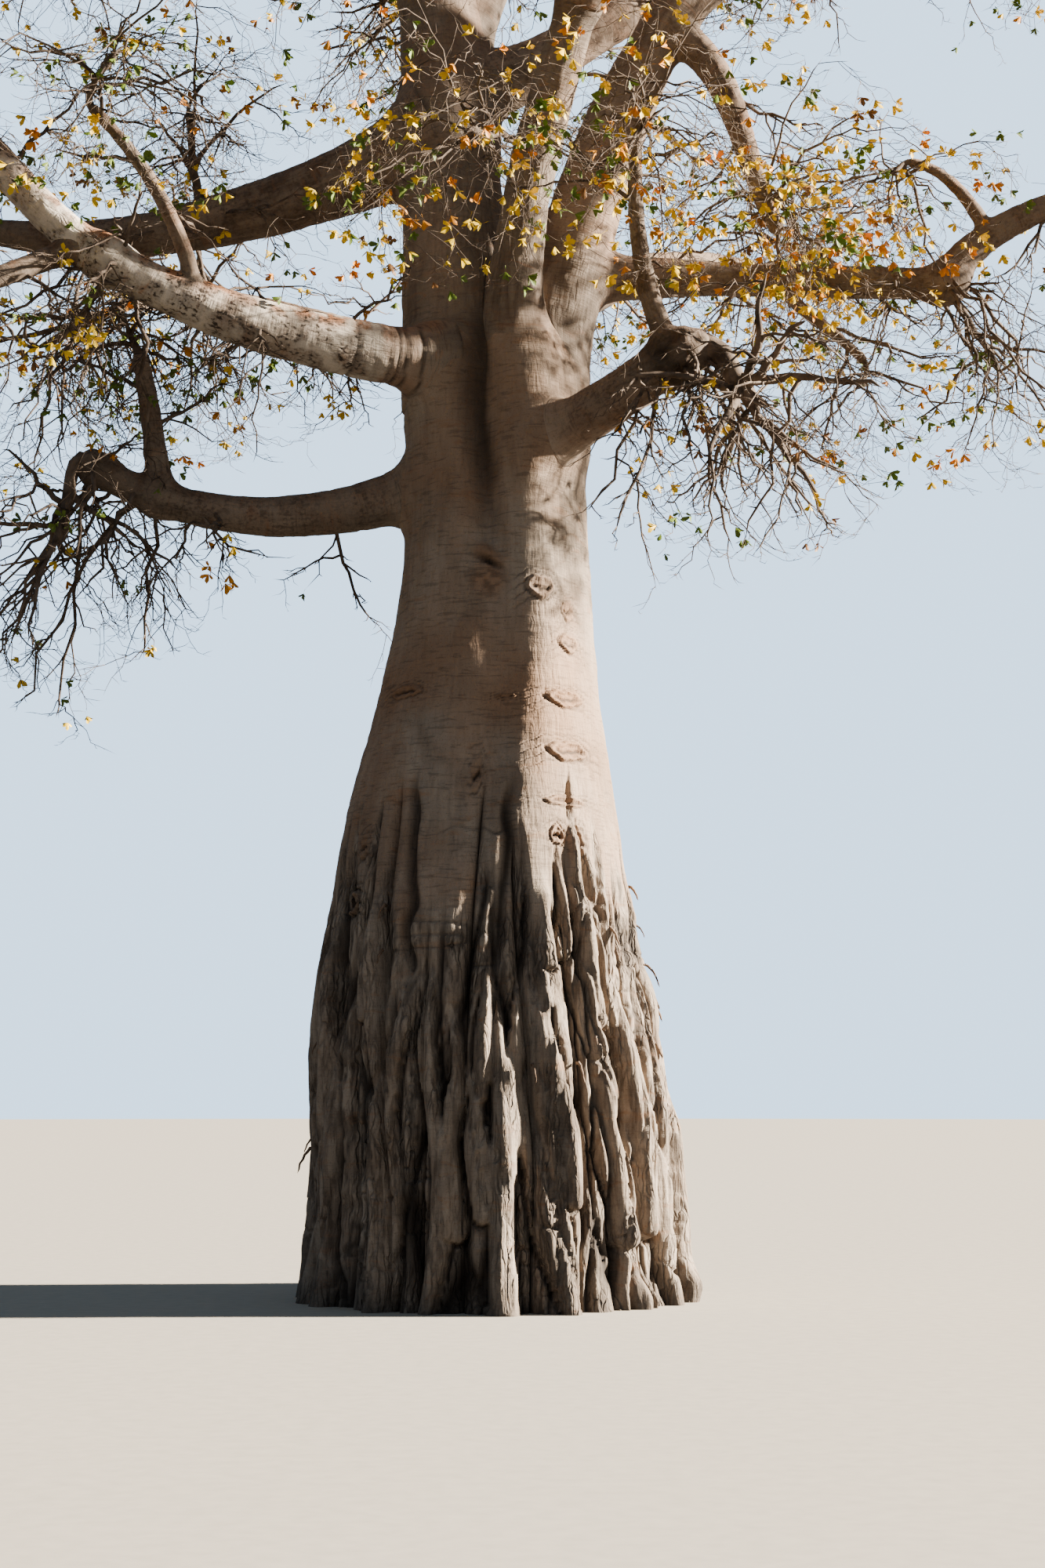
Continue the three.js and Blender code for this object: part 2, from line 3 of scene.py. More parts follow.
import bpy
import numpy as np
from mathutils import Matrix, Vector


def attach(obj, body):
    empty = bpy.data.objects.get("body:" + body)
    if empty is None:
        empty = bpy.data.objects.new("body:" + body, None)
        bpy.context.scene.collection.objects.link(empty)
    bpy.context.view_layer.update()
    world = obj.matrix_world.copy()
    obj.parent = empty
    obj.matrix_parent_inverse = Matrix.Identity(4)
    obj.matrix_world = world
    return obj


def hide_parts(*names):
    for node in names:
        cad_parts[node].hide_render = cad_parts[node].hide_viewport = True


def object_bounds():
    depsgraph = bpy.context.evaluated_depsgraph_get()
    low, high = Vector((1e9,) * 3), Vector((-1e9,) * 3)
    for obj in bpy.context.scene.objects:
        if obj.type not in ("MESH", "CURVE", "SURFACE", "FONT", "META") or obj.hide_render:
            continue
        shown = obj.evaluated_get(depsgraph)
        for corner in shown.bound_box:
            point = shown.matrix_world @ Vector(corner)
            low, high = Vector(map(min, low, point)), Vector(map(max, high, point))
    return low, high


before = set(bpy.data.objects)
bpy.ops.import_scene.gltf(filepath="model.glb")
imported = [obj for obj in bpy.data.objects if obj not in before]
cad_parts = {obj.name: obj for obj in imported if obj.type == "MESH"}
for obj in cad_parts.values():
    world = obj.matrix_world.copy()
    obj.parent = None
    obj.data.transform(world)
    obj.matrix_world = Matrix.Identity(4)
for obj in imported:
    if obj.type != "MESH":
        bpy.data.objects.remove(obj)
cad_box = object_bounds()


# The viewpoint: 2.1 m above the ground and 24 m in front of the tree, looking slightly up, so that
# the trunk stands whole in the picture and the crown runs out of it.
CAMERA_PLACE = (0.27, -24.28, 2.086)
CAMERA_TILT = 7.41
CAMERA_LENS = 54.0
SENSOR_WIDTH = 36.0
CLIP_END = 400.0

camera_data = bpy.data.cameras.new("camera")
camera_data.lens = CAMERA_LENS
camera_data.sensor_width = SENSOR_WIDTH
camera_data.clip_end = CLIP_END
camera = bpy.data.objects.new("camera", camera_data)
camera.location = CAMERA_PLACE
camera.rotation_euler = (math.radians(90 + CAMERA_TILT), 0.0, 0.0)
bpy.context.scene.collection.objects.link(camera)
bpy.context.scene.camera = camera


# The setting: a plain pale floor, a pale even sky, a low warm main light from the right and a
# weak cool one from the left, both with soft edges.
FLOOR_REACH = 150.0
FLOOR_SIDES = 96
FLOOR_COLOUR = (0.40, 0.36, 0.30)
# The floor's colour is broken up by a cloudy noise between these shares of it
FLOOR_CLOUDS = 7.0
FLOOR_DARK = 0.86
FLOOR_PALE = 1.12
# The share of the floor's colour that lights the tree from below, and of the sky that lights it
FLOOR_GLOW = 0.14
SKY_COLOUR = (0.54, 0.75, 1.0)
SKY_STRENGTH = 2.5
SKY_LIGHT = 0.25
LIGHTS = {
    # name: (bearing and rise of where it comes from, strength, spread in degrees, colour)
    "main_light": (3.0, 20.0, 44.0, 2.5, (1.0, 0.90, 0.76)),
    "side_light": (240.0, 30.0, 0.14, 40.0, (0.86, 0.90, 1.0)),
}


def direction(bearing, rise):
    """A unit vector from a bearing and a rise in degrees."""
    b = np.radians(bearing)
    r = np.radians(rise)
    return np.stack([np.cos(b) * np.cos(r), np.sin(b) * np.cos(r), np.sin(r) + 0.0 * b], axis=-1)


def new_material(name, values):
    """A material with values on its shader's sockets. Returns it, its node tree and its shader."""
    material = bpy.data.materials.new(name)
    material.use_nodes = True
    shader = material.node_tree.nodes["Principled BSDF"]
    for key, value in values.items():
        shader.inputs[key].default_value = value
    return material, material.node_tree, shader


def add_node(tree, kind, values=(), **settings):
    """A node with its settings and the values of its named or numbered inputs."""
    made = tree.nodes.new("ShaderNode" + kind)
    for key, value in settings.items():
        setattr(made, key, value)
    for key, value in dict(values).items():
        made.inputs[key].default_value = value
    return made


def seen_or_lighting(tree, lighting, seen):
    """One value where a thing is seen by the camera, and another where it throws light."""
    ray = add_node(tree, "LightPath")
    level = add_node(tree, "MapRange", {"To Min": lighting, "To Max": seen})
    tree.links.new(ray.outputs["Is Camera Ray"], level.inputs["Value"])
    return level.outputs["Result"]


def floor_material():
    """The floor's colour with faint clouds, dimmed where it throws light."""
    material, tree, shader = new_material("pale_floor", {"Roughness": 0.9})
    place = add_node(tree, "TexCoord")
    cloud = add_node(tree, "TexNoise", {"Scale": FLOOR_CLOUDS})
    ramp = add_node(tree, "ValToRGB")
    for element, share in zip(ramp.color_ramp.elements, (FLOOR_DARK, FLOOR_PALE)):
        element.color = (*[min(1.0, c * share) for c in FLOOR_COLOUR], 1.0)
    dim = add_node(tree, "VectorMath", operation="SCALE")
    tree.links.new(place.outputs["Object"], cloud.inputs["Vector"])
    tree.links.new(cloud.outputs["Fac"], ramp.inputs["Fac"])
    tree.links.new(ramp.outputs["Color"], dim.inputs[0])
    tree.links.new(seen_or_lighting(tree, FLOOR_GLOW, 1.0), dim.inputs["Scale"])
    tree.links.new(dim.outputs["Vector"], shader.inputs["Base Color"])
    return material


floor_mesh = bpy.data.meshes.new("floor")
floor_rim = direction(np.linspace(0.0, 360.0, FLOOR_SIDES, endpoint=False), 0.0) * FLOOR_REACH
floor_mesh.from_pydata(floor_rim.tolist(), [], [list(range(FLOOR_SIDES))])
floor_mesh.materials.append(floor_material())
floor = bpy.data.objects.new("floor", floor_mesh)
bpy.context.scene.collection.objects.link(floor)

sky = bpy.data.worlds.new("pale_sky")
sky.use_nodes = True
sky_background = sky.node_tree.nodes["Background"]
sky_background.inputs["Color"].default_value = (*SKY_COLOUR, 1.0)
sky.node_tree.links.new(
    seen_or_lighting(sky.node_tree, SKY_LIGHT, SKY_STRENGTH), sky_background.inputs["Strength"]
)
bpy.context.scene.world = sky

for light_name, (bearing, rise, strength, spread, colour) in LIGHTS.items():
    lamp = bpy.data.lights.new(light_name, "SUN")
    lamp.energy = strength
    lamp.angle = math.radians(spread)
    lamp.color = colour
    light = bpy.data.objects.new(light_name, lamp)
    light.rotation_euler = (math.radians(90 - rise), 0.0, math.radians(bearing + 90))
    bpy.context.scene.collection.objects.link(light)


# Bark: what trunk, limbs and twigs are covered with. Smooth and pinkish grey where it is young,
# grey and fibrous where it is old, with streaks along the grain and wrinkles across it.
def smooth(x):
    """The share x held between 0 and 1 and eased at both ends: 3x² - 2x³."""
    x = np.clip(x, 0.0, 1.0)
    return x * x * (3.0 - 2.0 * x)


def bell(x):
    """1 at zero, and less on both sides: e to the power of -x²."""
    return np.exp(-(x * x))


def mix(a, b, share):
    """The value at a share of the way from a to b."""
    return a + (b - a) * share


def chance(*numbers, salt=0):
    """A repeatable number from 0 to 1 for each place of whole numbers: they are mixed bit by bit."""
    h = np.full(np.shape(numbers[0]), salt * 977 + 12345, dtype=np.uint32)
    for number in numbers:
        h = (h ^ np.asarray(number).astype(np.int64).astype(np.uint32)) * np.uint32(2654435761)
        h = (h ^ (h >> np.uint32(15))) * np.uint32(2246822519)
    h = h ^ (h >> np.uint32(13))
    return h / 4294967296.0


def noise(points, size, salt=0):
    """Smooth lumps from -1 to 1, as wide as size: chances at the corners of a grid, eased between."""
    place = points / size
    corner = np.floor(place)
    share = smooth(place - corner)
    corner = corner.astype(np.int64)
    total = 0.0
    for step in np.ndindex(2, 2, 2):
        weight = [np.abs(1 - step[i] - share[..., i]) for i in range(3)]
        here = chance(*[corner[..., i] + step[i] for i in range(3)], salt=salt)
        total = total + weight[0] * weight[1] * weight[2] * here
    return 2.0 * total - 1.0


def rough(points, rows):
    """Noises of several sizes added up: each row is its height, stretch, size and salt."""
    return sum(height * noise(points * stretch, size, salt) for height, stretch, size, salt in rows)


def make_group(name, inputs, outputs):
    """A shader node group with named inputs and outputs; inputs are (name, kind, default)."""
    group = bpy.data.node_groups.new(name, "ShaderNodeTree")
    for label, kind, value in inputs:
        socket = group.interface.new_socket(label, in_out="INPUT", socket_type="NodeSocket" + kind)
        if value is not None:
            socket.default_value = value
    for label, kind in outputs:
        group.interface.new_socket(label, in_out="OUTPUT", socket_type="NodeSocket" + kind)
    return group, group.nodes.new("NodeGroupInput"), group.nodes.new("NodeGroupOutput")


def stretched_noise(tree, vector, stretch, scale, detail=4.0, distortion=0.0):
    """Noise on a vector that is multiplied by a stretch: its lumps are long where that is small."""
    mapping = add_node(tree, "Mapping", {"Scale": stretch})
    tree.links.new(vector, mapping.inputs["Vector"])
    lumps = add_node(tree, "TexNoise", {"Scale": scale, "Detail": detail, "Distortion": distortion})
    tree.links.new(mapping.outputs["Vector"], lumps.inputs["Vector"])
    return lumps.outputs["Fac"]


def remap(tree, value, low, high, out_low=0.0, out_high=1.0):
    """A value's range from low to high laid over another range, and held inside it."""
    span = add_node(
        tree, "MapRange", {"From Min": low, "From Max": high, "To Min": out_low, "To Max": out_high}
    )
    tree.links.new(value, span.inputs["Value"])
    return span.outputs["Result"]


def give(tree, source, socket):
    """Gives an input socket its source: another socket, a number or a colour."""
    if isinstance(source, (int, float)):
        socket.default_value = source
    elif isinstance(source, tuple):
        socket.default_value = (*source, 1.0)
    else:
        tree.links.new(source, socket)


def blend_colour(tree, share, a, b):
    """Colour a turned into b by a share, each a socket or a value."""
    blended = add_node(tree, "Mix", data_type="RGBA", blend_type="MIX")
    give(tree, share, blended.inputs["Factor"])
    give(tree, a, [s for s in blended.inputs if s.name == "A" and s.type == "RGBA"][0])
    give(tree, b, [s for s in blended.inputs if s.name == "B" and s.type == "RGBA"][0])
    return [s for s in blended.outputs if s.type == "RGBA"][0]


def combine(tree, operation, a, b):
    """The result of one sum on two values, each a socket or a number."""
    made = add_node(tree, "Math", operation=operation)
    give(tree, a, made.inputs[0])
    give(tree, b, made.inputs[1])
    return made.outputs["Value"]


# The bark's noises: stretch (small along the way in which the lumps are long), scale, detail, distortion
BARK_NOISES = {
    "patches": ((1.0, 1.0, 0.6), 1.7, 5.0, 0.6),
    "broad streaks": ((1.0, 1.0, 0.12), 7.0, 4.0, 0.8),
    "streaks": ((1.0, 1.0, 0.10), 26.0, 5.0, 0.4),
    "torn": ((1.0, 1.0, 0.30), 9.0, 7.0, 0.4),
    "blush": ((1.0, 1.0, 0.7), 0.8, 3.0, 0.0),
    "rust lines": ((0.3, 0.3, 1.0), 9.0, 4.0, 1.2),
    "wrinkles": ((0.14, 0.14, 1.0), 34.0, 4.0, 0.6),
    "broken": ((1.0, 1.0, 0.5), 3.2, 3.0, 0.0),
    "flecks": ((1.0, 1.0, 0.7), 30.0, 6.0, 0.2),
    "blotches": ((0.8, 0.8, 1.0), 4.0, 9.0, 0.3),
    "specks": ((1.0, 1.0, 1.0), 70.0, 3.0, 0.0),
}
# How each noise becomes a share of a colour, in the order in which they are laid: the range of the
# noise that counts, the most that it covers, what weighs it, the colour
BARK_LAYERS = {
    "patches": (0.38, 0.66, 1.0, None, "Pale"),
    "broad streaks": (0.42, 0.66, 1.0, "worn", "Dark"),
    "streaks": (0.48, 0.68, 1.0, "worn", "Dark"),
    "torn": (0.52, 0.60, 0.75, "Age", "Pale"),
    "blush": (0.44, 0.60, 1.0, "young", "Rust"),
    "rust lines": (0.58, 0.72, 0.45, None, "Rust"),
    "wrinkles": (0.54, 0.66, 0.32, "fresh", "Dark"),
    "broken": (0.42, 0.60, 0.55, "cracks", "Dark"),
    "flecks": (0.50, 0.62, 1.0, "Mottle", "Dark"),
    "blotches": (0.46, 0.60, 1.0, "Mottle", "Pale"),
    "specks": (0.58, 0.72, 0.35, None, "Dark"),
}
# How the bark's age from one value to another weighs its layers: from, to, weight there and here
BARK_WEIGHTS = {
    "worn": (0.0, 1.0, 0.10, 0.60),
    "young": (0.0, 0.6, 0.45, 0.0),
    "fresh": (0.2, 0.9, 1.0, 0.25),
}
# The net of cracks: how far and how finely its place is warped, its squeeze, scale and width
CRACK_WARP = 0.16
CRACK_WARP_SCALE = 3.5
CRACK_SQUEEZE = (1.0, 1.0, 0.16)
CRACK_SCALE = 15.0
CRACK_WIDTH = 0.16
TORN_HEIGHT = 0.006
SPECK_HEIGHT = 0.0015


def crack_net(tree, place):
    """A net of cracks, 1 in their middle: the edges of long cells, their place warped by noise."""
    warp = add_node(tree, "TexNoise", {"Scale": CRACK_WARP_SCALE, "Detail": 3.0})
    bent = add_node(tree, "VectorMath", {"Scale": CRACK_WARP}, operation="SCALE")
    moved = add_node(tree, "VectorMath", operation="ADD")
    squeezed = add_node(tree, "Mapping", {"Scale": CRACK_SQUEEZE})
    plates = add_node(tree, "TexVoronoi", {"Scale": CRACK_SCALE}, feature="DISTANCE_TO_EDGE")
    tree.links.new(place, warp.inputs["Vector"])
    tree.links.new(warp.outputs["Color"], bent.inputs[0])
    tree.links.new(place, moved.inputs[0])
    tree.links.new(bent.outputs["Vector"], moved.inputs[1])
    tree.links.new(moved.outputs["Vector"], squeezed.inputs["Vector"])
    tree.links.new(squeezed.outputs["Vector"], plates.inputs["Vector"])
    return remap(tree, plates.outputs["Distance"], 0.0, CRACK_WIDTH, 1.0, 0.0)


def bark_group():
    """The bark's colour and height over a place (its third number runs along the grain): pale patches, dark
    streaks along, wrinkles across, a net of cracks, rusty stains and pits, and painted shade with some dark
    marks where it is given."""
    group, given, result = make_group(
        "baobab bark",
        [
            ("Place", "Vector", None),
            ("Main", "Color", (0.3, 0.25, 0.2, 1.0)),
            ("Pale", "Color", (0.5, 0.45, 0.4, 1.0)),
            ("Dark", "Color", (0.1, 0.08, 0.06, 1.0)),
            ("Rust", "Color", (0.35, 0.17, 0.07, 1.0)),
            ("Painted_shade_and_marks", "Float", 0.0),
            ("Age", "Float", 0.5),
            ("Stain", "Float", 0.0),
            ("Mottle", "Float", 0.0),
            ("Streaks", "Float", 0.004),
            ("Wrinkles", "Float", 0.004),
            ("Cracks", "Float", 0.006),
        ],
        [("Color", "Color"), ("Height", "Float"), ("Roughness", "Float")],
    )
    given = given.outputs
    noises = {}
    for name, row in BARK_NOISES.items():
        noises[name] = stretched_noise(group, given["Place"], *row)
    weights = {"Age": given["Age"], "Mottle": given["Mottle"]}
    for name, row in BARK_WEIGHTS.items():
        weights[name] = remap(group, given["Age"], *row)
    weights["cracks"] = combine(group, "MULTIPLY", crack_net(group, given["Place"]), given["Age"])
    shares = {}
    colour = given["Main"]
    for name, (low, high, most, weight, tint) in BARK_LAYERS.items():
        shares[name] = remap(group, noises[name], low, high, 0.0, most)
        if weight:
            shares[name] = combine(group, "MULTIPLY", shares[name], weights[weight])
        if name == "rust lines":
            shares[name] = combine(group, "MAXIMUM", shares[name], given["Stain"])
        colour = blend_colour(group, shares[name], colour, given[tint])
    # Painted shade, with some dark marks, turns the colour towards the dark one by its share
    colour = blend_colour(group, given["Painted_shade_and_marks"], colour, given["Dark"])

    raised = combine(group, "MULTIPLY", noises["wrinkles"], given["Wrinkles"])
    raised = combine(group, "MULTIPLY", raised, weights["fresh"])
    raised = combine(group, "ADD", raised, combine(group, "MULTIPLY", shares["torn"], TORN_HEIGHT))
    height = combine(group, "MULTIPLY", noises["streaks"], given["Streaks"])
    height = combine(group, "ADD", height, raised)
    depth = combine(group, "DIVIDE", given["Cracks"], BARK_LAYERS["broken"][2])
    sunk = combine(group, "MULTIPLY", shares["broken"], depth)
    height = combine(group, "SUBTRACT", height, sunk)
    grain = combine(group, "MULTIPLY", noises["specks"], SPECK_HEIGHT)
    group.links.new(colour, result.inputs["Color"])
    group.links.new(combine(group, "ADD", height, grain), result.inputs["Height"])
    group.links.new(remap(group, noises["specks"], 0.3, 0.7, 0.78, 0.95), result.inputs["Roughness"])
    return group


bark = bark_group()
BARK_SHINE = 0.25


def bark_material(name, place, colours, amounts):
    """A bark of its own colours and depths; place names the attribute that it follows, if any. A
    limb's colours start from the trunk's at its foot, by the share in the attribute root."""
    material, tree, shader = new_material(name, {"Specular IOR Level": BARK_SHINE})
    skin = add_node(tree, "Group")
    skin.node_tree = bark
    for key, value in {**colours, **amounts}.items():
        give(tree, value, skin.inputs[key])
    source = add_node(tree, "Attribute", attribute_name=place) if place else add_node(tree, "TexCoord")
    tree.links.new(source.outputs["Vector" if place else "Object"], skin.inputs["Place"])
    # The first of these attributes holds the painted shade of creases, gaps, the cleft and undersides, with
    # some dark marks
    for key in ("painted_shade_and_marks", "age", "stain"):
        measured = add_node(tree, "Attribute", attribute_name=key)
        tree.links.new(measured.outputs["Fac"], skin.inputs[key.capitalize()])
    if place:
        root = add_node(tree, "Attribute", attribute_name="root")
        for key in ("Main", "Pale", "Dark"):
            mixed = blend_colour(tree, root.outputs["Fac"], colours[key], TRUNK_BARK[key])
            tree.links.new(mixed, skin.inputs[key])
        mottle = remap(tree, root.outputs["Fac"], 0.0, 1.0, amounts["Mottle"], 0.0)
        tree.links.new(mottle, skin.inputs["Mottle"])
    bump = add_node(tree, "Bump", {"Strength": 1.0, "Distance": 1.0})
    tree.links.new(skin.outputs["Height"], bump.inputs["Height"])
    tree.links.new(skin.outputs["Color"], shader.inputs["Base Color"])
    tree.links.new(skin.outputs["Roughness"], shader.inputs["Roughness"])
    tree.links.new(bump.outputs["Normal"], shader.inputs["Normal"])
    return material


def piece_of(name, points, triangles, material, attributes=()):
    """A smooth piece from an array of points and one of triangles, riding with the tree."""
    mesh = bpy.data.meshes.new(name)
    mesh.vertices.add(len(points))
    mesh.vertices.foreach_set("co", np.ascontiguousarray(points, dtype=np.float32).ravel())
    mesh.loops.add(triangles.size)
    mesh.loops.foreach_set("vertex_index", np.ascontiguousarray(triangles, dtype=np.int32).ravel())
    mesh.polygons.add(len(triangles))
    mesh.polygons.foreach_set("loop_start", np.arange(0, triangles.size, 3, dtype=np.int32))
    mesh.update(calc_edges=True)
    mesh.polygons.foreach_set("use_smooth", np.ones(len(triangles), dtype=bool))
    for key, values in dict(attributes).items():
        kind = "FLOAT_VECTOR" if np.ndim(values) == 2 else "FLOAT"
        layer = mesh.attributes.new(key, kind, "POINT")
        layer.data.foreach_set(
            "vector" if kind == "FLOAT_VECTOR" else "value",
            np.ascontiguousarray(values, dtype=np.float32).ravel(),
        )
    mesh.materials.append(material)
    obj = bpy.data.objects.new(name, mesh)
    bpy.context.scene.collection.objects.link(obj)
    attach(obj, "root")
    return obj


def unit(vectors):
    """Vectors divided by their lengths."""
    return vectors / np.maximum(np.linalg.norm(vectors, axis=-1, keepdims=True), 1e-9)


def net_triangles(rows, columns):
    """The triangles of a closed tube's net of rows by columns, with a pole before the first row
    and one after the last. The points are numbered row by row, then the two poles."""
    row = np.arange(rows - 1)[:, None] * columns
    column = np.arange(columns)[None, :]
    onward = (column + 1) % columns
    a = (row + column).ravel()
    b = (row + onward).ravel()
    c = b + columns
    d = a + columns
    walls = np.concatenate([np.stack([a, b, c], 1), np.stack([a, c, d], 1)])
    ring = np.arange(columns)
    after = (ring + 1) % columns
    last = (rows - 1) * columns
    low = np.stack([np.full(columns, rows * columns), after, ring], 1)
    high = np.stack([np.full(columns, rows * columns + 1), last + ring, last + after], 1)
    return np.concatenate([walls, low, high])


def net_normals(points):
    """Outward unit normals of a closed tube's net: the turn along a row crossed with the climb."""
    across = np.roll(points, -1, axis=1) - np.roll(points, 1, axis=1)
    return unit(np.cross(across, np.gradient(points, axis=0)))


# The limbs' centre lines: three leaders that fork from the neck, heavy boughs that leave them
# level or sagging, and branches that stand on these. Each is one tapering limb of living wood.
LIMB_TAPER = 1.5
LIMB_LINE = 24
# How far the trunk's middle leans, at which height, and how far up and down from there
LEAN = -0.14
LEAN_HEIGHT = 4.1
LEAN_SPREAD = 2.3
# name: (what it grows on, how high in metres or at which share, its foot's offset from that centre
# line as bearing and distance, its tip, the directions in which it leaves and arrives as bearing
# and rise, its radius at foot and tip, the swelling at its foot)
LIMBS = {
    "leader_left": (
        "trunk", 9.3, (180, 0.33), (-1.25, 0.45, 16.1), (180, 84), (175, 68), (0.63, 0.19), 0.0,
    ),
    "leader_right": (
        "trunk", 8.9, (5, 0.46), (3.4, -0.15, 15.3), (10, 85), (350, 35), (0.45, 0.13), 0.0,
    ),
    "leader_centre": (
        "trunk", 9.3, (305, 0.5), (1.4, -2.0, 15.9), (200, 77), (270, 80), (0.29, 0.105), 0.06,
    ),
    "leader_left_fork": (
        "leader_left", 0.55, (40, 0.12), (0.35, 1.5, 16.5), (20, 66), (75, 70), (0.23, 0.11), 0.06,
    ),
    "bough_upper_left": (
        "leader_left", 0.44, (180, 0.1), (-6.0, 0.6, 11.56), (170, -24), (182, 16), (0.35, 0.115), 0.23,
    ),
    "bough_lower_left": (
        "trunk", 9.64, (218, 0.66), (-3.9, -1.7, 10.31), (208, -2), (188, 30), (0.31, 0.2), 0.06,
    ),
    "bough_lower_left_end": (
        "bough_lower_left", 1, (0, 0.0), (-6.25, -2.15, 12.5), None, (190, 30), (0.195, 0.12), 0.0,
    ),
    "branch_lower_left_up": (
        "bough_lower_left", 0.72, (250, 0.06), (-3.95, -2.2, 11.65),
        (255, 70), (175, 45), (0.085, 0.055), 0.04,
    ),
    "branch_lower_left_down": (
        "bough_lower_left_end", 0.06, (200, 0.06), (-5.65, -2.5, 9.65),
        (200, -25), (195, -5), (0.115, 0.08), 0.04,
    ),
    "bough_lowest_left": (
        "trunk", 8.52, (182, 0.5), (-4.25, -0.42, 8.56), (182, -28), (190, 34), (0.27, 0.12), 0.09,
    ),
    "branch_lowest_left_up": (
        "bough_lowest_left", 0.78, (0, 0.0), (-3.75, -0.35, 9.7),
        (160, 80), (170, 75), (0.125, 0.085), 0.06,
    ),
    "bough_lower_right": (
        "trunk", 8.72, (302, 0.48), (1.98, -1.56, 9.42), (318, 0), (340, 22), (0.27, 0.195), 0.15,
    ),
    "branch_lower_right_up": (
        "bough_lower_right", 0.9, (270, 0.03), (1.43, -1.65, 11.65),
        (200, 60), (300, 80), (0.105, 0.06), 0.06,
    ),
    "bough_right": (
        "leader_right", 0.26, (60, 0.15), (4.95, 0.42, 10.79), (12, 6), (0, 0), (0.2, 0.165), 0.18,
    ),
    "bough_right_end": (
        "bough_right", 0.975, (0, 0.0), (7.15, 0.42, 11.95), (0, 58), (0, 8), (0.165, 0.095), 0.04,
    ),
    "branch_right_up": (
        "bough_right_end", 0.3, (180, 0.02), (4.5, 0.2, 12.08), (185, 65), (185, 5), (0.08, 0.05), 0.02,
    ),
    "branch_right_down": (
        "bough_right", 0.54, (0, 0.0), (3.9, 0.0, 9.8), (330, -60), (350, -50), (0.075, 0.045), 0.04,
    ),
    "bough_upper_right": (
        "leader_left", 0.5, (30, 0.12), (2.85, 2.3, 15.9), (14, 30), (35, 45), (0.3, 0.13), 0.14,
    ),
    "bough_side_right": (
        "leader_right", 0.66, (300, 0.04), (2.94, -0.45, 11.1), (345, -30), (340, -65), (0.18, 0.085), 0.06,
    ),
    "bough_top_left": (
        "leader_left", 0.74, (180, 0.06), (-4.5, 0.25, 15.4), (178, 35), (180, 5), (0.22, 0.1), 0.08,
    ),
    "bough_back_left": (
        "trunk", 9.65, (120, 0.45), (-3.3, 4.5, 11.8), (124, 20), (130, 15), (0.32, 0.13), 0.12,
    ),
    "bough_back": (
        "trunk", 9.5, (85, 0.45), (0.45, 5.0, 12.8), (84, 25), (92, 30), (0.31, 0.13), 0.11,
    ),
    "bough_back_right": (
        "trunk", 10.0, (52, 0.4), (3.4, 4.4, 12.3), (50, 45), (50, 8), (0.26, 0.12), 0.06,
    ),
    "bough_back_high": (
        "leader_left", 0.52, (95, 0.1), (-1.15, 4.1, 15.5), (98, 38), (95, 40), (0.26, 0.115), 0.1,
    ),
    "bough_back_left_low": (
        "trunk", 9.85, (155, 0.45), (-3.75, 2.4, 11.35), (150, 14), (155, 15), (0.26, 0.12), 0.08,
    ),
    "bough_front_left": (
        "leader_left", 0.7, (240, 0.1), (-2.9, -3.5, 14.9), (238, 25), (230, 0), (0.23, 0.11), 0.08,
    ),
    "bough_front_right": (
        "leader_centre", 0.6, (300, 0.04), (2.2, -4.9, 14.7), (300, 30), (290, 15), (0.19, 0.095), 0.05,
    ),
    "bough_front": (
        "leader_centre", 0.68, (250, 0.03), (-0.5, -4.6, 15.4), (255, 30), (248, 15), (0.16, 0.085), 0.04,
    ),
    "bough_top_right": (
        "leader_right", 0.7, (20, 0.04), (5.95, 0.5, 15.35), (15, 45), (5, 15), (0.19, 0.095), 0.05,
    ),
}

# Knots where shoots were lost: limb, share along it, how far it reaches, extra radius, roughness
KNOTS = (
    ("bough_lower_right", 0.90, 0.20, 0.085, 0.105),
    ("bough_lowest_left", 0.97, 0.22, 0.07, 0.040),
    ("bough_lowest_left", 0.80, 0.20, 0.05, 0.030),
    ("bough_right", 0.98, 0.16, 0.04, 0.020),
    ("bough_lower_left", 0.99, 0.25, 0.04, 0.025),
)


def bezier(foot, leave, tip, arrive):
    """The four points of a curve that leaves its foot and reaches its tip in the given directions."""
    handle = np.linalg.norm(tip - foot, axis=-1, keepdims=True) / 3.0
    return np.stack([foot, foot + leave * handle, tip - arrive * handle, tip], axis=-2)


def curve_points(curve, shares):
    """Points at shares of cubic curves; curve is (..., 4, 3) and shares (..., n)."""
    t = np.asarray(shares, dtype=float)[..., None]
    a, b, c, d = [curve[..., i, :][..., None, :] for i in range(4)]
    return a * (1 - t) ** 3 + 3 * b * t * (1 - t) ** 2 + 3 * c * t * t * (1 - t) + d * t**3


def curve_tangents(curve, shares):
    """Unit directions at shares of cubic curves."""
    t = np.asarray(shares, dtype=float)[..., None]
    a, b, c, d = [curve[..., i, :][..., None, :] for i in range(4)]
    along = (b - a) * (1 - t) ** 2 + 2 * (c - b) * t * (1 - t) + (d - c) * t * t
    return unit(along)


def trunk_centre(z):
    """The trunk's middle leans to the left half way up: a bell curve of the height."""
    return LEAN * bell((z - LEAN_HEIGHT) / LEAN_SPREAD)


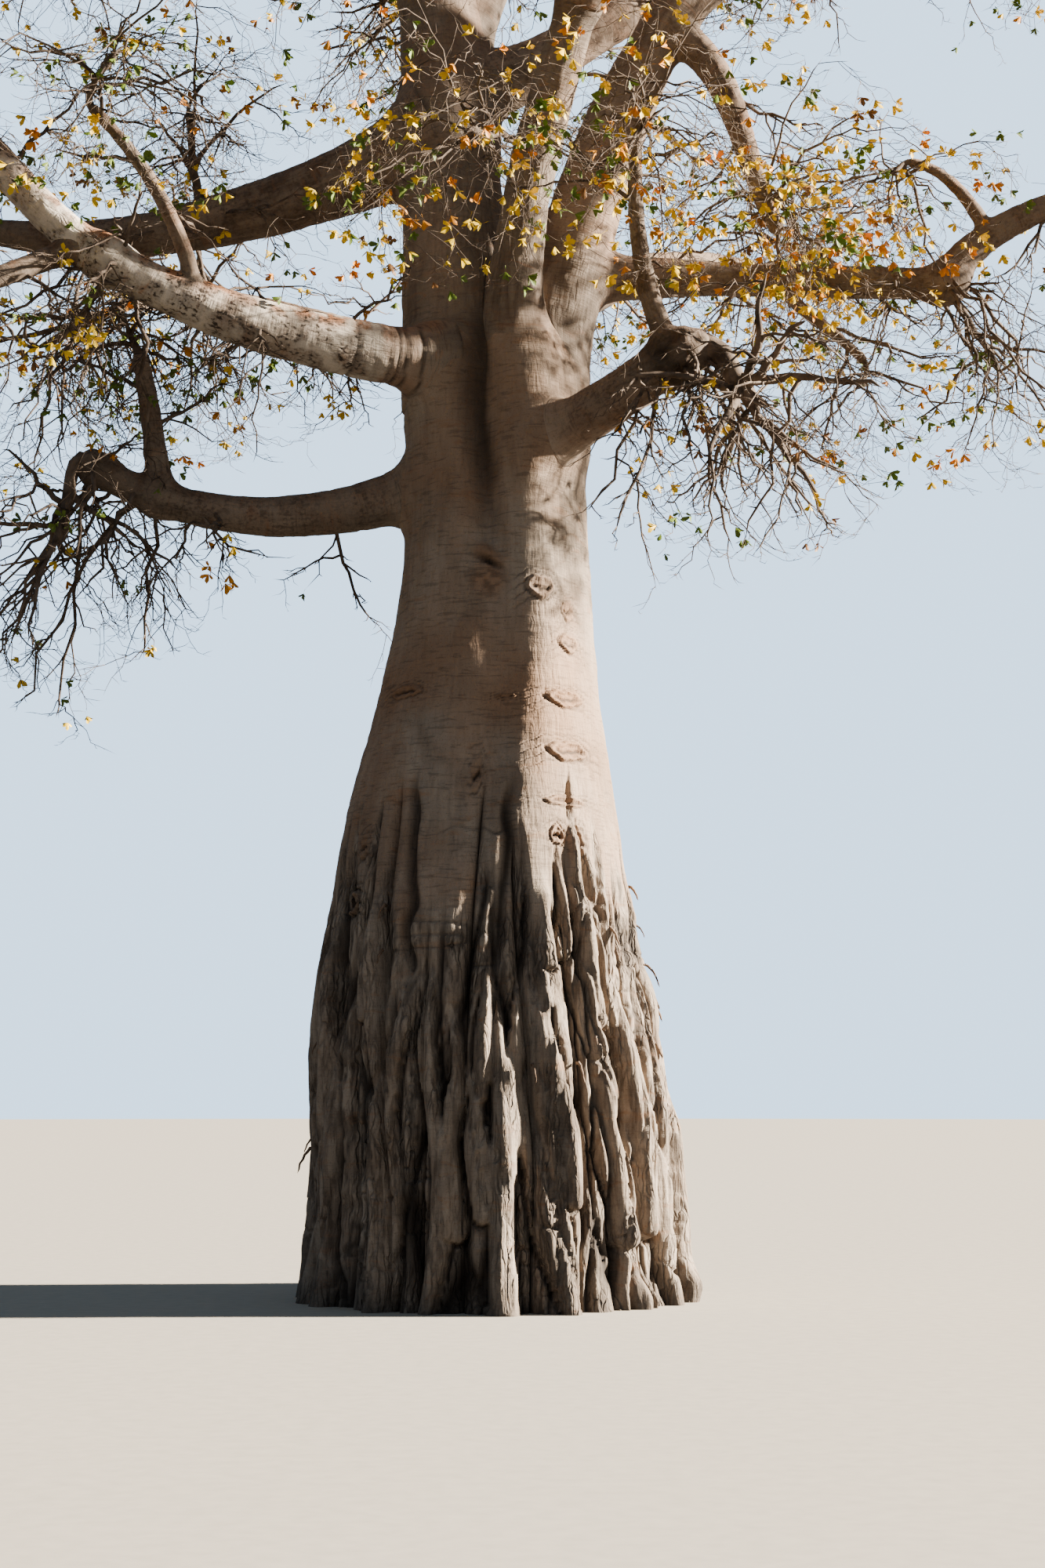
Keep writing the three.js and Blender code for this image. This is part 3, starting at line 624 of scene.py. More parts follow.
def place_limb(name):
    """A limb's curve, radii at its foot and tip, swelling, length and a line of points along it."""
    on, at, offset, tip, leave, arrive, radii, collar = LIMBS[name]
    if on == "trunk":
        foot = np.array([trunk_centre(at), 0.0, at])
    else:
        foot = curve_points(limbs[on]["curve"], [at])[0]
    foot = foot + direction(offset[0], 0.0) * offset[1]
    leave = direction(*leave) if leave else curve_tangents(limbs[on]["curve"], [1.0])[0]
    curve = bezier(foot, leave, np.array(tip), direction(*arrive))
    fine = curve_points(curve, np.linspace(0, 1, 201))
    length = np.linalg.norm(np.diff(fine, axis=0), axis=1).sum()
    line = curve_points(curve, np.linspace(0, 1, LIMB_LINE + 1))
    knots = [knot[1:] for knot in KNOTS if knot[0] == name]
    return {
        "curve": curve, "radii": radii, "collar": collar, "length": length, "line": line, "knots": knots,
    }


def limb_radius(limb, share):
    """Foot to tip radius by the share to the power of the taper, with a swelling that dies away."""
    foot, tip = limb["radii"]
    collar = limb["collar"] * np.exp(-share * limb["length"] / (foot + limb["collar"]))
    return mix(foot, tip, np.clip(share, 0.0, 1.0) ** LIMB_TAPER) + collar


limbs = {}
for limb_name in LIMBS:
    limbs[limb_name] = place_limb(limb_name)


def at_knots(limb, share, column):
    """What a limb's knots add at shares along it: the number in their column times a bell each."""
    added = 0.0 * share
    for knot in limb["knots"]:
        added = added + knot[column] * bell((share - knot[0]) * limb["length"] / knot[1])
    return added


def knotted_radius(limb, share):
    """A limb's radius with its knots."""
    return limb_radius(limb, share) + at_knots(limb, share, 2)


# The trunk: 10 m to its fork and 3.8 m across at the ground. The neck is smooth; the foot is in
# rope-like folds that run together and part again, with a smooth tongue between two grooves in
# front, and scars where old shoots have dropped. It is one living piece, rooted in the ground.
TRUNK_HEIGHT = 10.3
DOME_HEIGHT = 1.0
NECK_RADIUS = 0.85
FOOT_SWELL = 1.03
SWELL_HEIGHT = 4.95
SWELL_EASE = 1.35
FLARE = 0.07
FLARE_HEIGHT = 0.26
STRANDS = 26
CREASE_TOP = 4.35
CREASE_DEPTH = 0.17
CREST_RISE = 0.06
TONGUE_BEARING = 252.0
TONGUE_HALF_WIDTH = 20.0
TONGUE_FOOT = 3.7
TONGUE_CREASE_TOP = 5.25
# The cleft's bearing at heights from its foot to its top
CLEFT_PATH = ((7.2, 267.0), (7.8, 265.0), (8.4, 261.0), (9.0, 258.5), (9.5, 259.0), (10.3, 254.0))
CLEFT_HALF_WIDTH = 11.0
CLEFT_DEPTH = 0.26
CLEFT_FOOT = 7.0
CLEFT_RUN = 2.2
# How dark the shade painted in the cleft is, from which height and over how many metres that grows
CLEFT_PAINTED_SHADE = 0.86
CLEFT_PAINTED_SHADE_FOOT = 7.2
CLEFT_PAINTED_SHADE_RUN = 1.6
# Where a bough leaves the neck it swells: bearing, height, half width, half height, rise
SWELLINGS = (
    (288.0, 8.60, 0.32, 0.42, 0.17),
    (299.0, 9.75, 0.30, 0.95, 0.10),
    (196.0, 8.40, 0.30, 0.40, 0.07),
    (222.0, 9.50, 0.34, 0.55, 0.06),
)
# A blunt ridge runs down the neck's front between its flat left side and its right one, with a
# shallow hollow on its left: heights and bearings, the heights at which it has died away, its
# rise, its half width in degrees, how far away the hollow is and its share of the rise
RIDGE_PATH = (
    (3.9, 284.0), (4.9, 288.0), (5.5, 293.0), (6.5, 299.0), (7.2, 295.0), (8.1, 288.0), (9.6, 294.0),
)
RIDGE_ENDS = (3.6, 9.9)
RIDGE_RISE = 0.075
RIDGE_HALF_WIDTH = 15.0
HOLLOW_AWAY = 24.0
HOLLOW_SHARE = 0.95
# The trunk's three pieces from below: the heights between which each stands, and its net's columns
# for each strand and rows
TRUNK_PIECES = {
    "trunk_foot": (0.0, 2.9, (20, 190)),
    "trunk_folds": (2.9, 5.72, (20, 190)),
    "trunk_neck": (5.72, TRUNK_HEIGHT, (12, 316)),
}
# The two deep grooves beside the tongue: heights and bearings from the foot up, half width in metres
GROOVES = (
    (((2.9, 245.0), (3.9, 243.7), (4.45, 242.1), (5.1, 240.0), (5.4, 241.0)), 0.050),
    (((2.9, 274.5), (4.05, 277.8), (4.45, 279.6), (4.9, 281.2), (5.3, 281.5)), 0.055),
)
GROOVE_DEPTH = 0.11
# A shoulder on the left above the folds: its bearing and half width, its height and half height, its rise
SHOULDER = (186.0, 38.0, 5.05, 0.95, 0.055)
# Fine wrinkles across the tongue's foot: height, share of the depth, half width, and waves as their
# size in metres, how far they turn in a round and where they start
TONGUE_WRINKLES = (
    (4.62, 1.0, 0.014, ((0.03, 90.0, 0.0), (0.02, 233.0, 0.0))),
    (4.88, 0.7, 0.012, ((0.03, 120.0, 1.0),)),
)
TONGUE_WRINKLE_DEPTH = 0.012
# The strands wander: by how much of a turn, waves in a round, where they start, metres in a radian
STRAND_WAVES = ((0.011, 5, 0.7, 2.6), (0.0055, 9, 2.1, -1.5), (0.012, 2, 4.0, 5.2))
# The old bark's upper edge: its height, and waves as their size in metres, number and start
OLD_BARK_TOP = 4.55
OLD_BARK_WAVES = ((0.30, 7, 1.0), (0.20, 13, 0.0), (0.30, 29, 2.0), (0.22, 47, 0.5))
# The knot like a half-shut eye
EYE_BEARING = 266.6
EYE_HEIGHT = 7.46
# Old shoot scars: bearing, height, half width, half height, height of the lips, depth of the slit
SCARS = (
    (296.7, 7.14, 0.14, 0.11, 0.026, 0.020),
    (316.9, 6.93, 0.10, 0.10, 0.014, 0.045),
    (315.3, 6.58, 0.15, 0.09, 0.026, 0.018),
    (310.1, 5.99, 0.24, 0.08, 0.028, 0.022),
    (310.8, 5.45, 0.27, 0.09, 0.030, 0.022),
    (307.2, 4.93, 0.26, 0.05, 0.022, 0.026),
    (223.3, 6.08, 0.20, 0.06, 0.022, 0.030),
    (278.5, 5.98, 0.10, 0.03, 0.012, 0.022),
    (300.4, 4.58, 0.08, 0.09, 0.020, 0.060),
    (313.0, 4.53, 0.07, 0.13, 0.020, 0.070),
    (215.1, 3.94, 0.11, 0.11, 0.050, 0.070),
    (217.4, 4.50, 0.06, 0.12, 0.030, 0.060),
    (266.6, 5.19, 0.06, 0.17, 0.010, 0.050),
    (150.0, 6.40, 0.22, 0.07, 0.026, 0.022),
    (95.0, 5.50, 0.24, 0.08, 0.028, 0.024),
    (60.0, 7.20, 0.14, 0.10, 0.026, 0.020),
    (20.0, 6.10, 0.22, 0.08, 0.028, 0.024),
    (120.0, 7.60, 0.14, 0.10, 0.026, 0.020),
)
# Pale strands that stand proud of the folds: the half width, then points of bearing and height
FINGERS = (
    (0.115, (316.6, 4.75), (314.4, 4.02), (308.0, 3.39), (307.0, 3.01), (307.6, 2.48)),
    (0.125, (317.3, 3.95), (318.6, 3.36), (318.1, 2.83), (322.7, 2.30), (325.2, 1.65), (323.7, 0.80)),
    (0.130, (313.0, 2.45), (308.3, 1.81), (309.1, 1.36), (313.7, 0.70)),
    (0.085, (299.8, 4.39), (303.0, 3.92), (298.7, 3.40)),
    (0.105, (284.5, 3.30), (282.9, 2.85), (278.7, 2.18), (281.7, 1.59), (287.4, 0.90)),
    (0.110, (286.5, 3.20), (287.2, 2.77), (291.2, 2.22), (294.5, 1.74), (295.1, 1.05)),
    (0.080, (292.3, 4.38), (292.4, 3.84), (293.1, 3.30)),
    (0.095, (272.0, 3.20), (270.4, 2.77), (268.3, 2.18), (264.1, 1.67), (267.0, 0.90)),
    (0.100, (260.4, 2.90), (261.0, 2.18), (257.4, 1.59), (258.8, 0.75)),
    (0.120, (331.8, 1.80), (334.8, 1.27), (334.9, 0.77), (336.5, 0.45)),
)
FINGER_LIFT = 0.10
# Seeded strands all round: how many, and from what to what reach their tops, their runs down, their
# half widths, their sway and their slant in degrees
ROPES = 40
ROPE_TOPS = (2.2, 4.9)
ROPE_RUNS = (1.6, 5.5)
ROPE_HALF_WIDTHS = (0.060, 0.150)
ROPE_SWAYS = (1.0, 3.6)
ROPE_SLANTS = (-13.0, 13.0)
# Two sizes of long cells in the folded bark: how many round the trunk, their height, their relief, and how
# wide a cell's round edge is and how wide the shade painted in the gap beside it is
COARSE_CELLS = (27, 2.7, 0.120, 0.42, 0.24)
FINE_CELLS = (92, 0.80, 0.024, 0.40, 0.20)
# How dark the fine gaps are painted, as shade
FINE_GAP_SHADE = 0.55
PLATE_STEP = 0.012
# The torn surface of the folds, and the lumps of young bark: height, stretch, size, salt
TORN_BARK = ((0.013, [1, 1, 0.22], 0.055, 15), (0.014, [1, 1, 0.4], 0.16, 17))
YOUNG_BARK = ((0.018, [1, 1, 0.7], 0.85, 21), (0.010, [1, 1, 1], 0.34, 22), (0.004, [1, 1, 1], 0.12, 27))
# The front of the folds is painted darker as shade, and so is the bark near the ground: bearing, half width
# and share; height and share
FRONT_PAINTED_SHADE = (294.0, 19.0, 0.42)
GROUND_PAINTED_SHADE = (0.50, 0.45)
# Lumps at the ground on the right: bearing, height, half width, height above the folds
KNUCKLES = ((344.7, 0.16, 0.20, 0.16), (343.9, 0.89, 0.15, 0.10), (322.0, 0.10, 0.16, 0.10))


def bottle_radius(z):
    """Neck radius plus a swell that eases in below SWELL_HEIGHT, and a flare at the ground."""
    swell = FOOT_SWELL / (1.0 + np.exp((z - SWELL_HEIGHT) / SWELL_EASE))
    return NECK_RADIUS + swell + FLARE * np.exp(-z / FLARE_HEIGHT)


def turn_between(a, b):
    """The shortest turn between bearings, with its sign."""
    return (a - b + 540.0) % 360.0 - 180.0


def round_off(x):
    """A quarter circle's height for a share of the way in from its edge: root of 1 - (1 - x)²."""
    return np.sqrt(np.clip(1.0 - (1.0 - np.clip(x, 0.0, 1.0)) ** 2, 0.0, 1.0))


def along_path(path, z):
    """The bearing of a path of heights and bearings at each height, by straight stretches."""
    return np.interp(z, [place[0] for place in path], [place[1] for place in path])


def cleft_depth(bearing, z):
    """The cleft under the fork: a bell across its wandering path that deepens upward."""
    across = turn_between(bearing, along_path(CLEFT_PATH, z)) / CLEFT_HALF_WIDTH
    return CLEFT_DEPTH * smooth((z - CLEFT_FOOT) / CLEFT_RUN) * bell(across)


def cleft_shade(points):
    """The shade painted on the bark in the cleft and on the leaders' feet beside it: a bell across its
    path, wide on the left and narrow on the right, that deepens upward."""
    z = points[..., 2]
    bearing = np.degrees(np.arctan2(points[..., 1], points[..., 0] - trunk_centre(z)))
    across = turn_between(bearing, along_path(CLEFT_PATH, z) + 2.0) + 3.0 * noise(points, 0.30, 33)
    reach = np.where(across > 0.0, 5.0, mix(8.0, 19.0, smooth((z - 7.9) / 1.6)))
    return CLEFT_PAINTED_SHADE * smooth((z - CLEFT_PAINTED_SHADE_FOOT) / CLEFT_PAINTED_SHADE_RUN) * bell(across / reach)


def neck_form(bearing, z):
    """What the neck adds to its bottle: a ridge and a bell for each swelling, less the cleft."""
    form = -cleft_depth(bearing, z)
    away = turn_between(bearing, along_path(RIDGE_PATH, z))
    ridge = bell(away / RIDGE_HALF_WIDTH) - HOLLOW_SHARE * bell((away + HOLLOW_AWAY) / RIDGE_HALF_WIDTH)
    form = form + RIDGE_RISE * ridge * smooth(z - RIDGE_ENDS[0]) * smooth(RIDGE_ENDS[1] - z)
    for at, height, half_width, half_height, rise in SWELLINGS:
        across = np.radians(turn_between(bearing, at)) * NECK_RADIUS / half_width
        form = form + rise * bell(across) * bell((z - height) / half_height)
    return form


def dome_share(z):
    """How much of its radius the trunk keeps under the fork: a quarter circle, but for a fifth."""
    dome = np.clip((z - TRUNK_HEIGHT + DOME_HEIGHT) / DOME_HEIGHT, 0.0, 1.0)
    return np.sqrt(np.maximum(0.04, 1.0 - dome * dome))


def strand_turn(u, z):
    """The strands wander: a place in turns round the trunk becomes its bearing in turns."""
    turn = u
    for size, waves, start, run in STRAND_WAVES:
        turn = turn + size * np.sin(2 * np.pi * waves * u + start + z / run)
    return turn


def seeded(seed):
    """A repeatable stream of numbers from 0 to 1: each is the last one times a constant, plus one."""
    state = seed
    while True:
        state = (state * 1664525 + 1013904223) % 4294967296
        yield state / 4294967296


def crease_facts():
    """Top, depth and crest of each crease. Those beside the tongue reach higher, those inside it
    stop at its foot."""
    facts = []
    for i in range(STRANDS):
        random = seeded(700 + i * 37)
        next(random)
        bearing = strand_turn(i / STRANDS, CREASE_TOP) * 360.0
        away = abs(turn_between(bearing, TONGUE_BEARING))
        if abs(away - TONGUE_HALF_WIDTH) < 8.0:
            top = TONGUE_CREASE_TOP
        elif away < TONGUE_HALF_WIDTH - 8.0:
            top = TONGUE_FOOT
        else:
            top = CREASE_TOP + 0.9 * (next(random) - 0.45)
        depth = CREASE_DEPTH * mix(0.55, 1.25, next(random))
        facts.append((top, depth, next(random)))
    return np.array(facts)


creases = crease_facts()


def old_bark(bearing, z):
    """How far the folded bark has taken over, 0 to 1: it starts above the creases' tops, but
    leaves the tongue smooth."""
    away = np.abs(turn_between(bearing, TONGUE_BEARING))
    tongue = smooth((TONGUE_HALF_WIDTH - away) / 6.0) * smooth((z - TONGUE_FOOT + 0.25) / 0.6)
    turn = np.radians(bearing)
    edge = OLD_BARK_TOP + sum(size * np.sin(turn * waves + start) for size, waves, start in OLD_BARK_WAVES)
    return smooth((edge - z) / 0.7) * (1.0 - 0.9 * tongue)


def finger_paths():
    """The pale strands seen in front, and seeded ropes all round that sway and cross as they run
    down to the ground, each as its half width and a line of bearings and heights."""
    paths = [(finger[0], np.array(finger[1:])) for finger in FINGERS]
    random = seeded(4242)
    for i in range(ROPES):
        bearing = 360.0 * (i + 0.8 * next(random)) / ROPES
        top = mix(*ROPE_TOPS, next(random))
        low = max(-0.1, top - mix(*ROPE_RUNS, next(random)))
        half_width = mix(*ROPE_HALF_WIDTHS, next(random))
        sway = mix(*ROPE_SWAYS, next(random))
        slant = mix(*ROPE_SLANTS, next(random))
        phase = 6.3 * next(random)
        if abs(turn_between(bearing, TONGUE_BEARING)) < TONGUE_HALF_WIDTH - 2.0:
            top = min(top, TONGUE_FOOT - 0.3)
        heights = np.linspace(top, low, 9)
        bends = bearing + slant * np.linspace(0, 1, 9) + sway * np.sin(heights * 1.9 + phase)
        paths.append((half_width, np.stack([bends, heights], axis=1)))
    return paths


def beside_span(points, foot, tip):
    """The share of the way from foot to tip at which each point is nearest, and the way from there
    to the point."""
    span = tip - foot
    share = np.clip((points - foot) @ span / (span @ span), 0.0, 1.0)
    return share, points - (foot + share[:, None] * span)


def finger_relief(bearing, z, radius):
    """Half-round strands: the lift is the root of 1 - (distance / half width)², and it fades in at
    the top; a narrow groove runs beside each."""
    lift = np.zeros_like(z)
    groove = np.zeros_like(z)
    for half_width, path in finger_paths():
        reach = half_width + 0.15
        near = (z > path[:, 1].min() - reach) & (z < path[:, 1].max() + reach)
        near &= np.abs(turn_between(bearing, path[:, 0].mean())) < 20.0
        if not near.any():
            continue
        start = path[0, 0]
        side = np.radians(turn_between(bearing[near], start)) * radius[near]
        line_side = np.radians(turn_between(path[:, 0], start)) * bottle_radius(path[:, 1])
        line = np.stack([line_side, path[:, 1]], axis=1)
        place = np.stack([side, z[near]], axis=1)
        gap = np.full(len(place), 1e9)
        share = np.zeros(len(place))
        for i in range(len(line) - 1):
            part, away = beside_span(place, line[i], line[i + 1])
            distance = np.linalg.norm(away, axis=1)
            closer = distance < gap
            gap = np.where(closer, distance, gap)
            share = np.where(closer, (i + part) / (len(line) - 1), share)
        width = half_width * (0.60 + 0.40 * smooth(share * 2.0))
        width = width * (1.0 + 0.12 * np.sin(share * 13.0 + 5.0 * line[0, 1]))
        strength = smooth(share * 4.0 + 0.1)
        raised = strength * FINGER_LIFT * (width / 0.11) * round_off(1.0 - gap / width)
        lift[near] = np.maximum(lift[near], raised)
        beside = bell((gap - width * 1.15) / (0.25 * width))
        groove[near] = np.maximum(groove[near], strength * beside * (gap > width * 0.9))
    return lift, groove


def long_cells(u, z, count, height, salt):
    """Long cells that part and meet in Vs: the gap between the distances to the nearest and second
    nearest of seeded points, on a net of count round the trunk and height up it."""
    across = u * count
    up = z / height
    first = np.full(np.shape(u), 1e9)
    second = np.full(np.shape(u), 1e9)
    base_a = np.floor(across).astype(np.int64)
    base_b = np.floor(up).astype(np.int64)
    for i in (-1, 0, 1):
        for j in (-1, 0, 1):
            a = base_a + i
            b = base_b + j
            point_a = a + chance(a % count, b, salt=salt)
            point_b = b + chance(a % count, b, salt=salt + 1)
            distance = np.hypot(across - point_a, up - point_b)
            second = np.minimum(second, np.maximum(first, distance))
            first = np.minimum(first, distance)
    return second - first


def scar_relief(bearing, z, radius):
    """Scars as ovals with raised lips, a slit and, beside and above them, wrinkles that run on sideways. An
    oval's measure is side² + |up|^1.5, 1 at its rim. Returns the relief, the shade painted in the slit, on
    the rim (most below it) and in the wrinkles, and how red."""
    relief = np.zeros_like(z)
    dark = np.zeros_like(z)
    red = np.zeros_like(z)
    for at, height, half_width, half_height, lip, slit in SCARS:
        side = np.radians(turn_between(bearing, at)) * radius / half_width
        up = (z - height) / half_height
        near = (np.abs(side) < 3.0) & (np.abs(up) < 5.0)
        side = side[near]
        up = up[near] + 0.12 * np.sin(side * 4.0 + at) + 0.07 * np.sin(side * 11.0 + 2.0 * at)
        rim = side * side + np.abs(up) ** 1.5
        shape = lip * bell((rim - 0.85) / 0.30) - 0.7 * lip * bell((rim - 1.45) / 0.22)
        gash = bell((up + 0.15) / 0.18) * smooth((0.9 - np.abs(side)) / 0.3)
        shape -= slit * gash
        arch = up + 0.30 * side * side
        lines = bell(np.sin(arch * 3.3 + 0.4) / 0.28) * (rim > 1.3)
        lines *= smooth((2.6 - np.abs(side)) / 1.2)
        lines *= smooth((3.0 - arch) / 1.5) * smooth((arch + 1.6) / 0.8)
        shape -= 0.45 * lip * lines
        relief[near] += shape
        # Painted shade in the slit, on the rim (heaviest below the lip) and in the wrinkles
        edge = bell((rim - 1.40) / 0.16) * (0.30 + 0.70 * smooth(0.4 - up))
        dark[near] = np.maximum(dark[near], np.maximum(gash, np.maximum(0.75 * edge, 0.60 * lines)))
        red[near] = np.maximum(red[near], 0.3 * smooth((1.6 - rim) / 0.8))
    return relief, dark, red


def eye_relief(bearing, z, radius):
    """The knot like a half-shut eye: a slanting lid over a pit, with a crackled patch below it."""
    side = np.radians(turn_between(bearing, EYE_BEARING)) * radius
    up = z - EYE_HEIGHT
    lid = np.hypot(side / 0.16, (up + 0.5 * side) / 0.11)
    patch = np.exp(-(np.hypot(side / 0.20, (up + 0.24) / 0.19) ** 4))
    place = np.stack([side, np.zeros_like(side), z], axis=-1)
    slit = bell((up + 0.5 * side + 0.055) / 0.040) * bell(side / 0.13)
    brow = 0.065 + 0.025 * noise(place, 0.10, 34)
    relief = brow * np.exp(-((lid / 0.95) ** 3)) - 0.085 * slit
    relief += patch * (0.012 + 0.012 * noise(place, 0.045, 25))
    # Painted shadow of the lid in the slit, and dark specks on the crackled patch
    dark = slit + 0.4 * patch * (noise(place, 0.05, 26) > 0.2)
    red = 0.6 * np.maximum(patch, np.exp(-((lid / 1.1) ** 4)))
    return relief, np.clip(dark, 0.0, 1.0), red


def groove_share(bearing, z, radius):
    """How deep a point lies in the grooves beside the tongue, 0 to 1: a bell across each path."""
    share = np.zeros_like(z)
    for groove_path, half_width in GROOVES:
        across = np.radians(turn_between(bearing, along_path(groove_path, z))) * radius
        window = smooth((z - groove_path[0][0]) / 0.5) * smooth((groove_path[-1][0] - z) / 0.6)
        share = np.maximum(share, bell(across / half_width) * window)
    return share


def fold_relief(u, z, bearing, bottle, place, old):
    """The folded bark: long cells with round tops and sharp gaps, ropes laid over them, steps where plates
    have broken, and a torn surface. Returns the relief, the shade painted in the gaps, grooves and cracks,
    and the ropes' lift; the tops stay at the solid's skin."""
    drift = 0.35 * noise(place * [1, 1, 0.5], 0.7, 11) + 0.14 * noise(place, 0.25, 12)
    count, height, coarse_depth, coarse_edge, coarse_gap = COARSE_CELLS
    coarse = long_cells(u + drift * 0.016, z + 0.5 * drift, count, height, 31)
    count, height, fine_depth, fine_edge, fine_gap = FINE_CELLS
    fine = long_cells(u + drift * 0.012, z + 0.4 * drift, count, height, 41)
    high = mix(0.55, 1.0, 0.5 + 0.5 * noise(place * [1, 1, 0.4], 0.45, 18))
    relief = coarse_depth * (high * round_off(coarse / coarse_edge) - 1.0)
    relief += fine_depth * (round_off(fine / fine_edge) - 1.0)
    lift, groove = finger_relief(bearing, z, bottle)
    lift = lift * (0.10 + 0.90 * old)
    relief += rough(place, TORN_BARK)
    steps = np.clip(noise(place * [0.5, 0.5, 1.6], 0.30, 16) * 3.0, -1, 1)
    relief += PLATE_STEP * steps
    bare = 1.0 - smooth(lift / 0.05)
    relief = mix(0.25 * relief, relief, bare) - 0.05 * groove
    cracks = bell(noise(place * [0.25, 0.25, 1.0], 0.13, 19) / 0.10) * smooth(noise(place, 0.5, 14) * 3.0)
    # The gaps, the grooves beside the ropes and the cracks are painted dark as shade
    fine_gaps = FINE_GAP_SHADE * (1.0 - smooth(fine / fine_gap))
    gaps = np.maximum(1.0 - smooth(coarse / coarse_gap), fine_gaps)
    gaps = np.maximum(gaps * bare, np.maximum(0.9 * groove * bare, 0.6 * cracks * bare))
    return old * relief + lift - 0.02 * old * cracks * bare, old * gaps, lift


def trunk_net(z_rows, per_strand):
    """The trunk's points by rows and columns without its finer relief, that relief, the shade painted on
    the bark with some dark marks, and how old and how rusty the bark is there."""
    part = np.arange(per_strand) / per_strand
    part = part - 0.35 * np.sin(2 * np.pi * part) / (2 * np.pi)
    u = (np.arange(STRANDS)[:, None] + part[None, :]).ravel() / STRANDS
    u, z = np.meshgrid(u, z_rows)
    strand = np.repeat(np.arange(STRANDS), per_strand)[None, :] + np.zeros_like(u, dtype=int)
    across = u * STRANDS - strand
    bearing = strand_turn(u, z) * 360.0
    bottle = bottle_radius(z)
    angle = np.radians(bearing)
    place = np.stack([np.cos(angle) * bottle, np.sin(angle) * bottle, z], axis=-1)

    left = creases[strand % STRANDS]
    right = creases[(strand + 1) % STRANDS]
    depth_left = left[..., 1] * smooth((left[..., 0] - z) / 0.7)
    depth_right = right[..., 1] * smooth((right[..., 0] - z) / 0.7)
    depth = mix(depth_left, depth_right, across)
    round_top = np.sqrt(np.clip(1.0 - (2.0 * across - 1.0) ** 2, 0.0, 1.0))
    crest = CREST_RISE * left[..., 2] * smooth((CREASE_TOP - z) / 0.7)
    at, half_width, height, half_height, rise = SHOULDER
    shoulder = rise * bell((z - height) / half_height) * bell(turn_between(bearing, at) / half_width)
    radius = bottle + crest * round_top - depth * (1.0 - round_top) + shoulder + neck_form(bearing, z)
    radius = radius * dome_share(z)
    points = np.stack([trunk_centre(z) + radius * np.cos(angle), radius * np.sin(angle), z], axis=-1)

    old = old_bark(bearing, z)
    folds, gaps, lift = fold_relief(u, z, bearing, bottle, place, old)
    wrinkled = smooth(noise(place * [0.6, 0.6, 1], 0.6, 24) + 0.7)
    wrinkle = noise(place * [0.16, 0.16, 1], 0.052, 23) * wrinkled
    young = (1.0 - old) * (rough(points, YOUNG_BARK) + 0.0045 * wrinkle)
    scars, scar_dark, scar_red = scar_relief(bearing, z, bottle)
    eye, eye_dark, eye_red = eye_relief(bearing, z, bottle)
    knuckle = np.zeros_like(z)
    for at, height, half_width, rise in KNUCKLES:
        side = np.radians(turn_between(bearing, at)) * bottle / half_width
        knuckle += rise * bell(side) * bell((z - height) / half_width)
    top_crease = np.zeros_like(z)
    for height, share, half_width, waves in TONGUE_WRINKLES:
        line = height + sum(size * np.sin(u * turn + start) for size, turn, start in waves)
        top_crease = np.maximum(top_crease, share * bell((z - line) / half_width))
    top_crease *= smooth((TONGUE_HALF_WIDTH - np.abs(turn_between(bearing, 266.0)) + 1.0) / 5.0)
    top_crease *= smooth(0.6 + 2.0 * noise(place, 0.35, 28))
    grooves = groove_share(bearing + 2.0 * noise(place, 0.3, 36), z, bottle)
    relief = folds + young + scars + eye + knuckle
    relief = relief - TONGUE_WRINKLE_DEPTH * top_crease - GROOVE_DEPTH * grooves

    # Painted shade: the bark is darker in the creases, gaps and grooves, in the scars' slits, rims and
    # wrinkles, under the eye's lid, in the tongue's wrinkles and in the cleft; the eye's patch has dark
    # specks
    deep = smooth((0.5 - round_top) / 0.5) * np.clip(depth / 0.12, 0, 1) * (1.0 - smooth(lift / 0.05))
    shade = cleft_shade(points)
    # Painted shade on the front of the folds and near the ground
    at, half_width, share = FRONT_PAINTED_SHADE
    front_shade = share * bell(turn_between(bearing, at) / half_width) * old
    front_shade = front_shade * (0.7 + 0.6 * noise(place, 0.35, 35))
    ground_shade = GROUND_PAINTED_SHADE[1] * smooth((GROUND_PAINTED_SHADE[0] - z) / 0.5)
    dark = [gaps, 0.95 * deep, 0.9 * scar_dark, eye_dark, 0.7 * top_crease, shade, 0.9 * grooves]
    painted_shade_and_marks = np.maximum.reduce([*dark, front_shade, ground_shade])
    age = 0.10 + 0.90 * old - 0.30 * smooth(lift / 0.06)
    blush = 0.35 * bell((z - 5.9) / 1.0) * smooth(noise(place, 0.9, 29) * 1.5 + 0.4)
    stain = np.maximum(scar_red, eye_red) + blush
    return points, relief, np.clip(painted_shade_and_marks, 0.0, 1.0), np.clip(age, 0.0, 1.0), np.clip(stain, 0.0, 0.9)


# Where limbs meet, the flesh is drawn out between them by a share of the limb's radius, up to this
FLESH_SHARE = 0.9
MOST_FLESH = 0.30
# How often a point is moved down the slope and by how much at most; how deep it sinks under the
# other's skin once it is that far past the joint's middle
JOINT_STEPS = 4
JOINT_STEP = 0.15
SINK = 0.04
SINK_RUN = 0.12


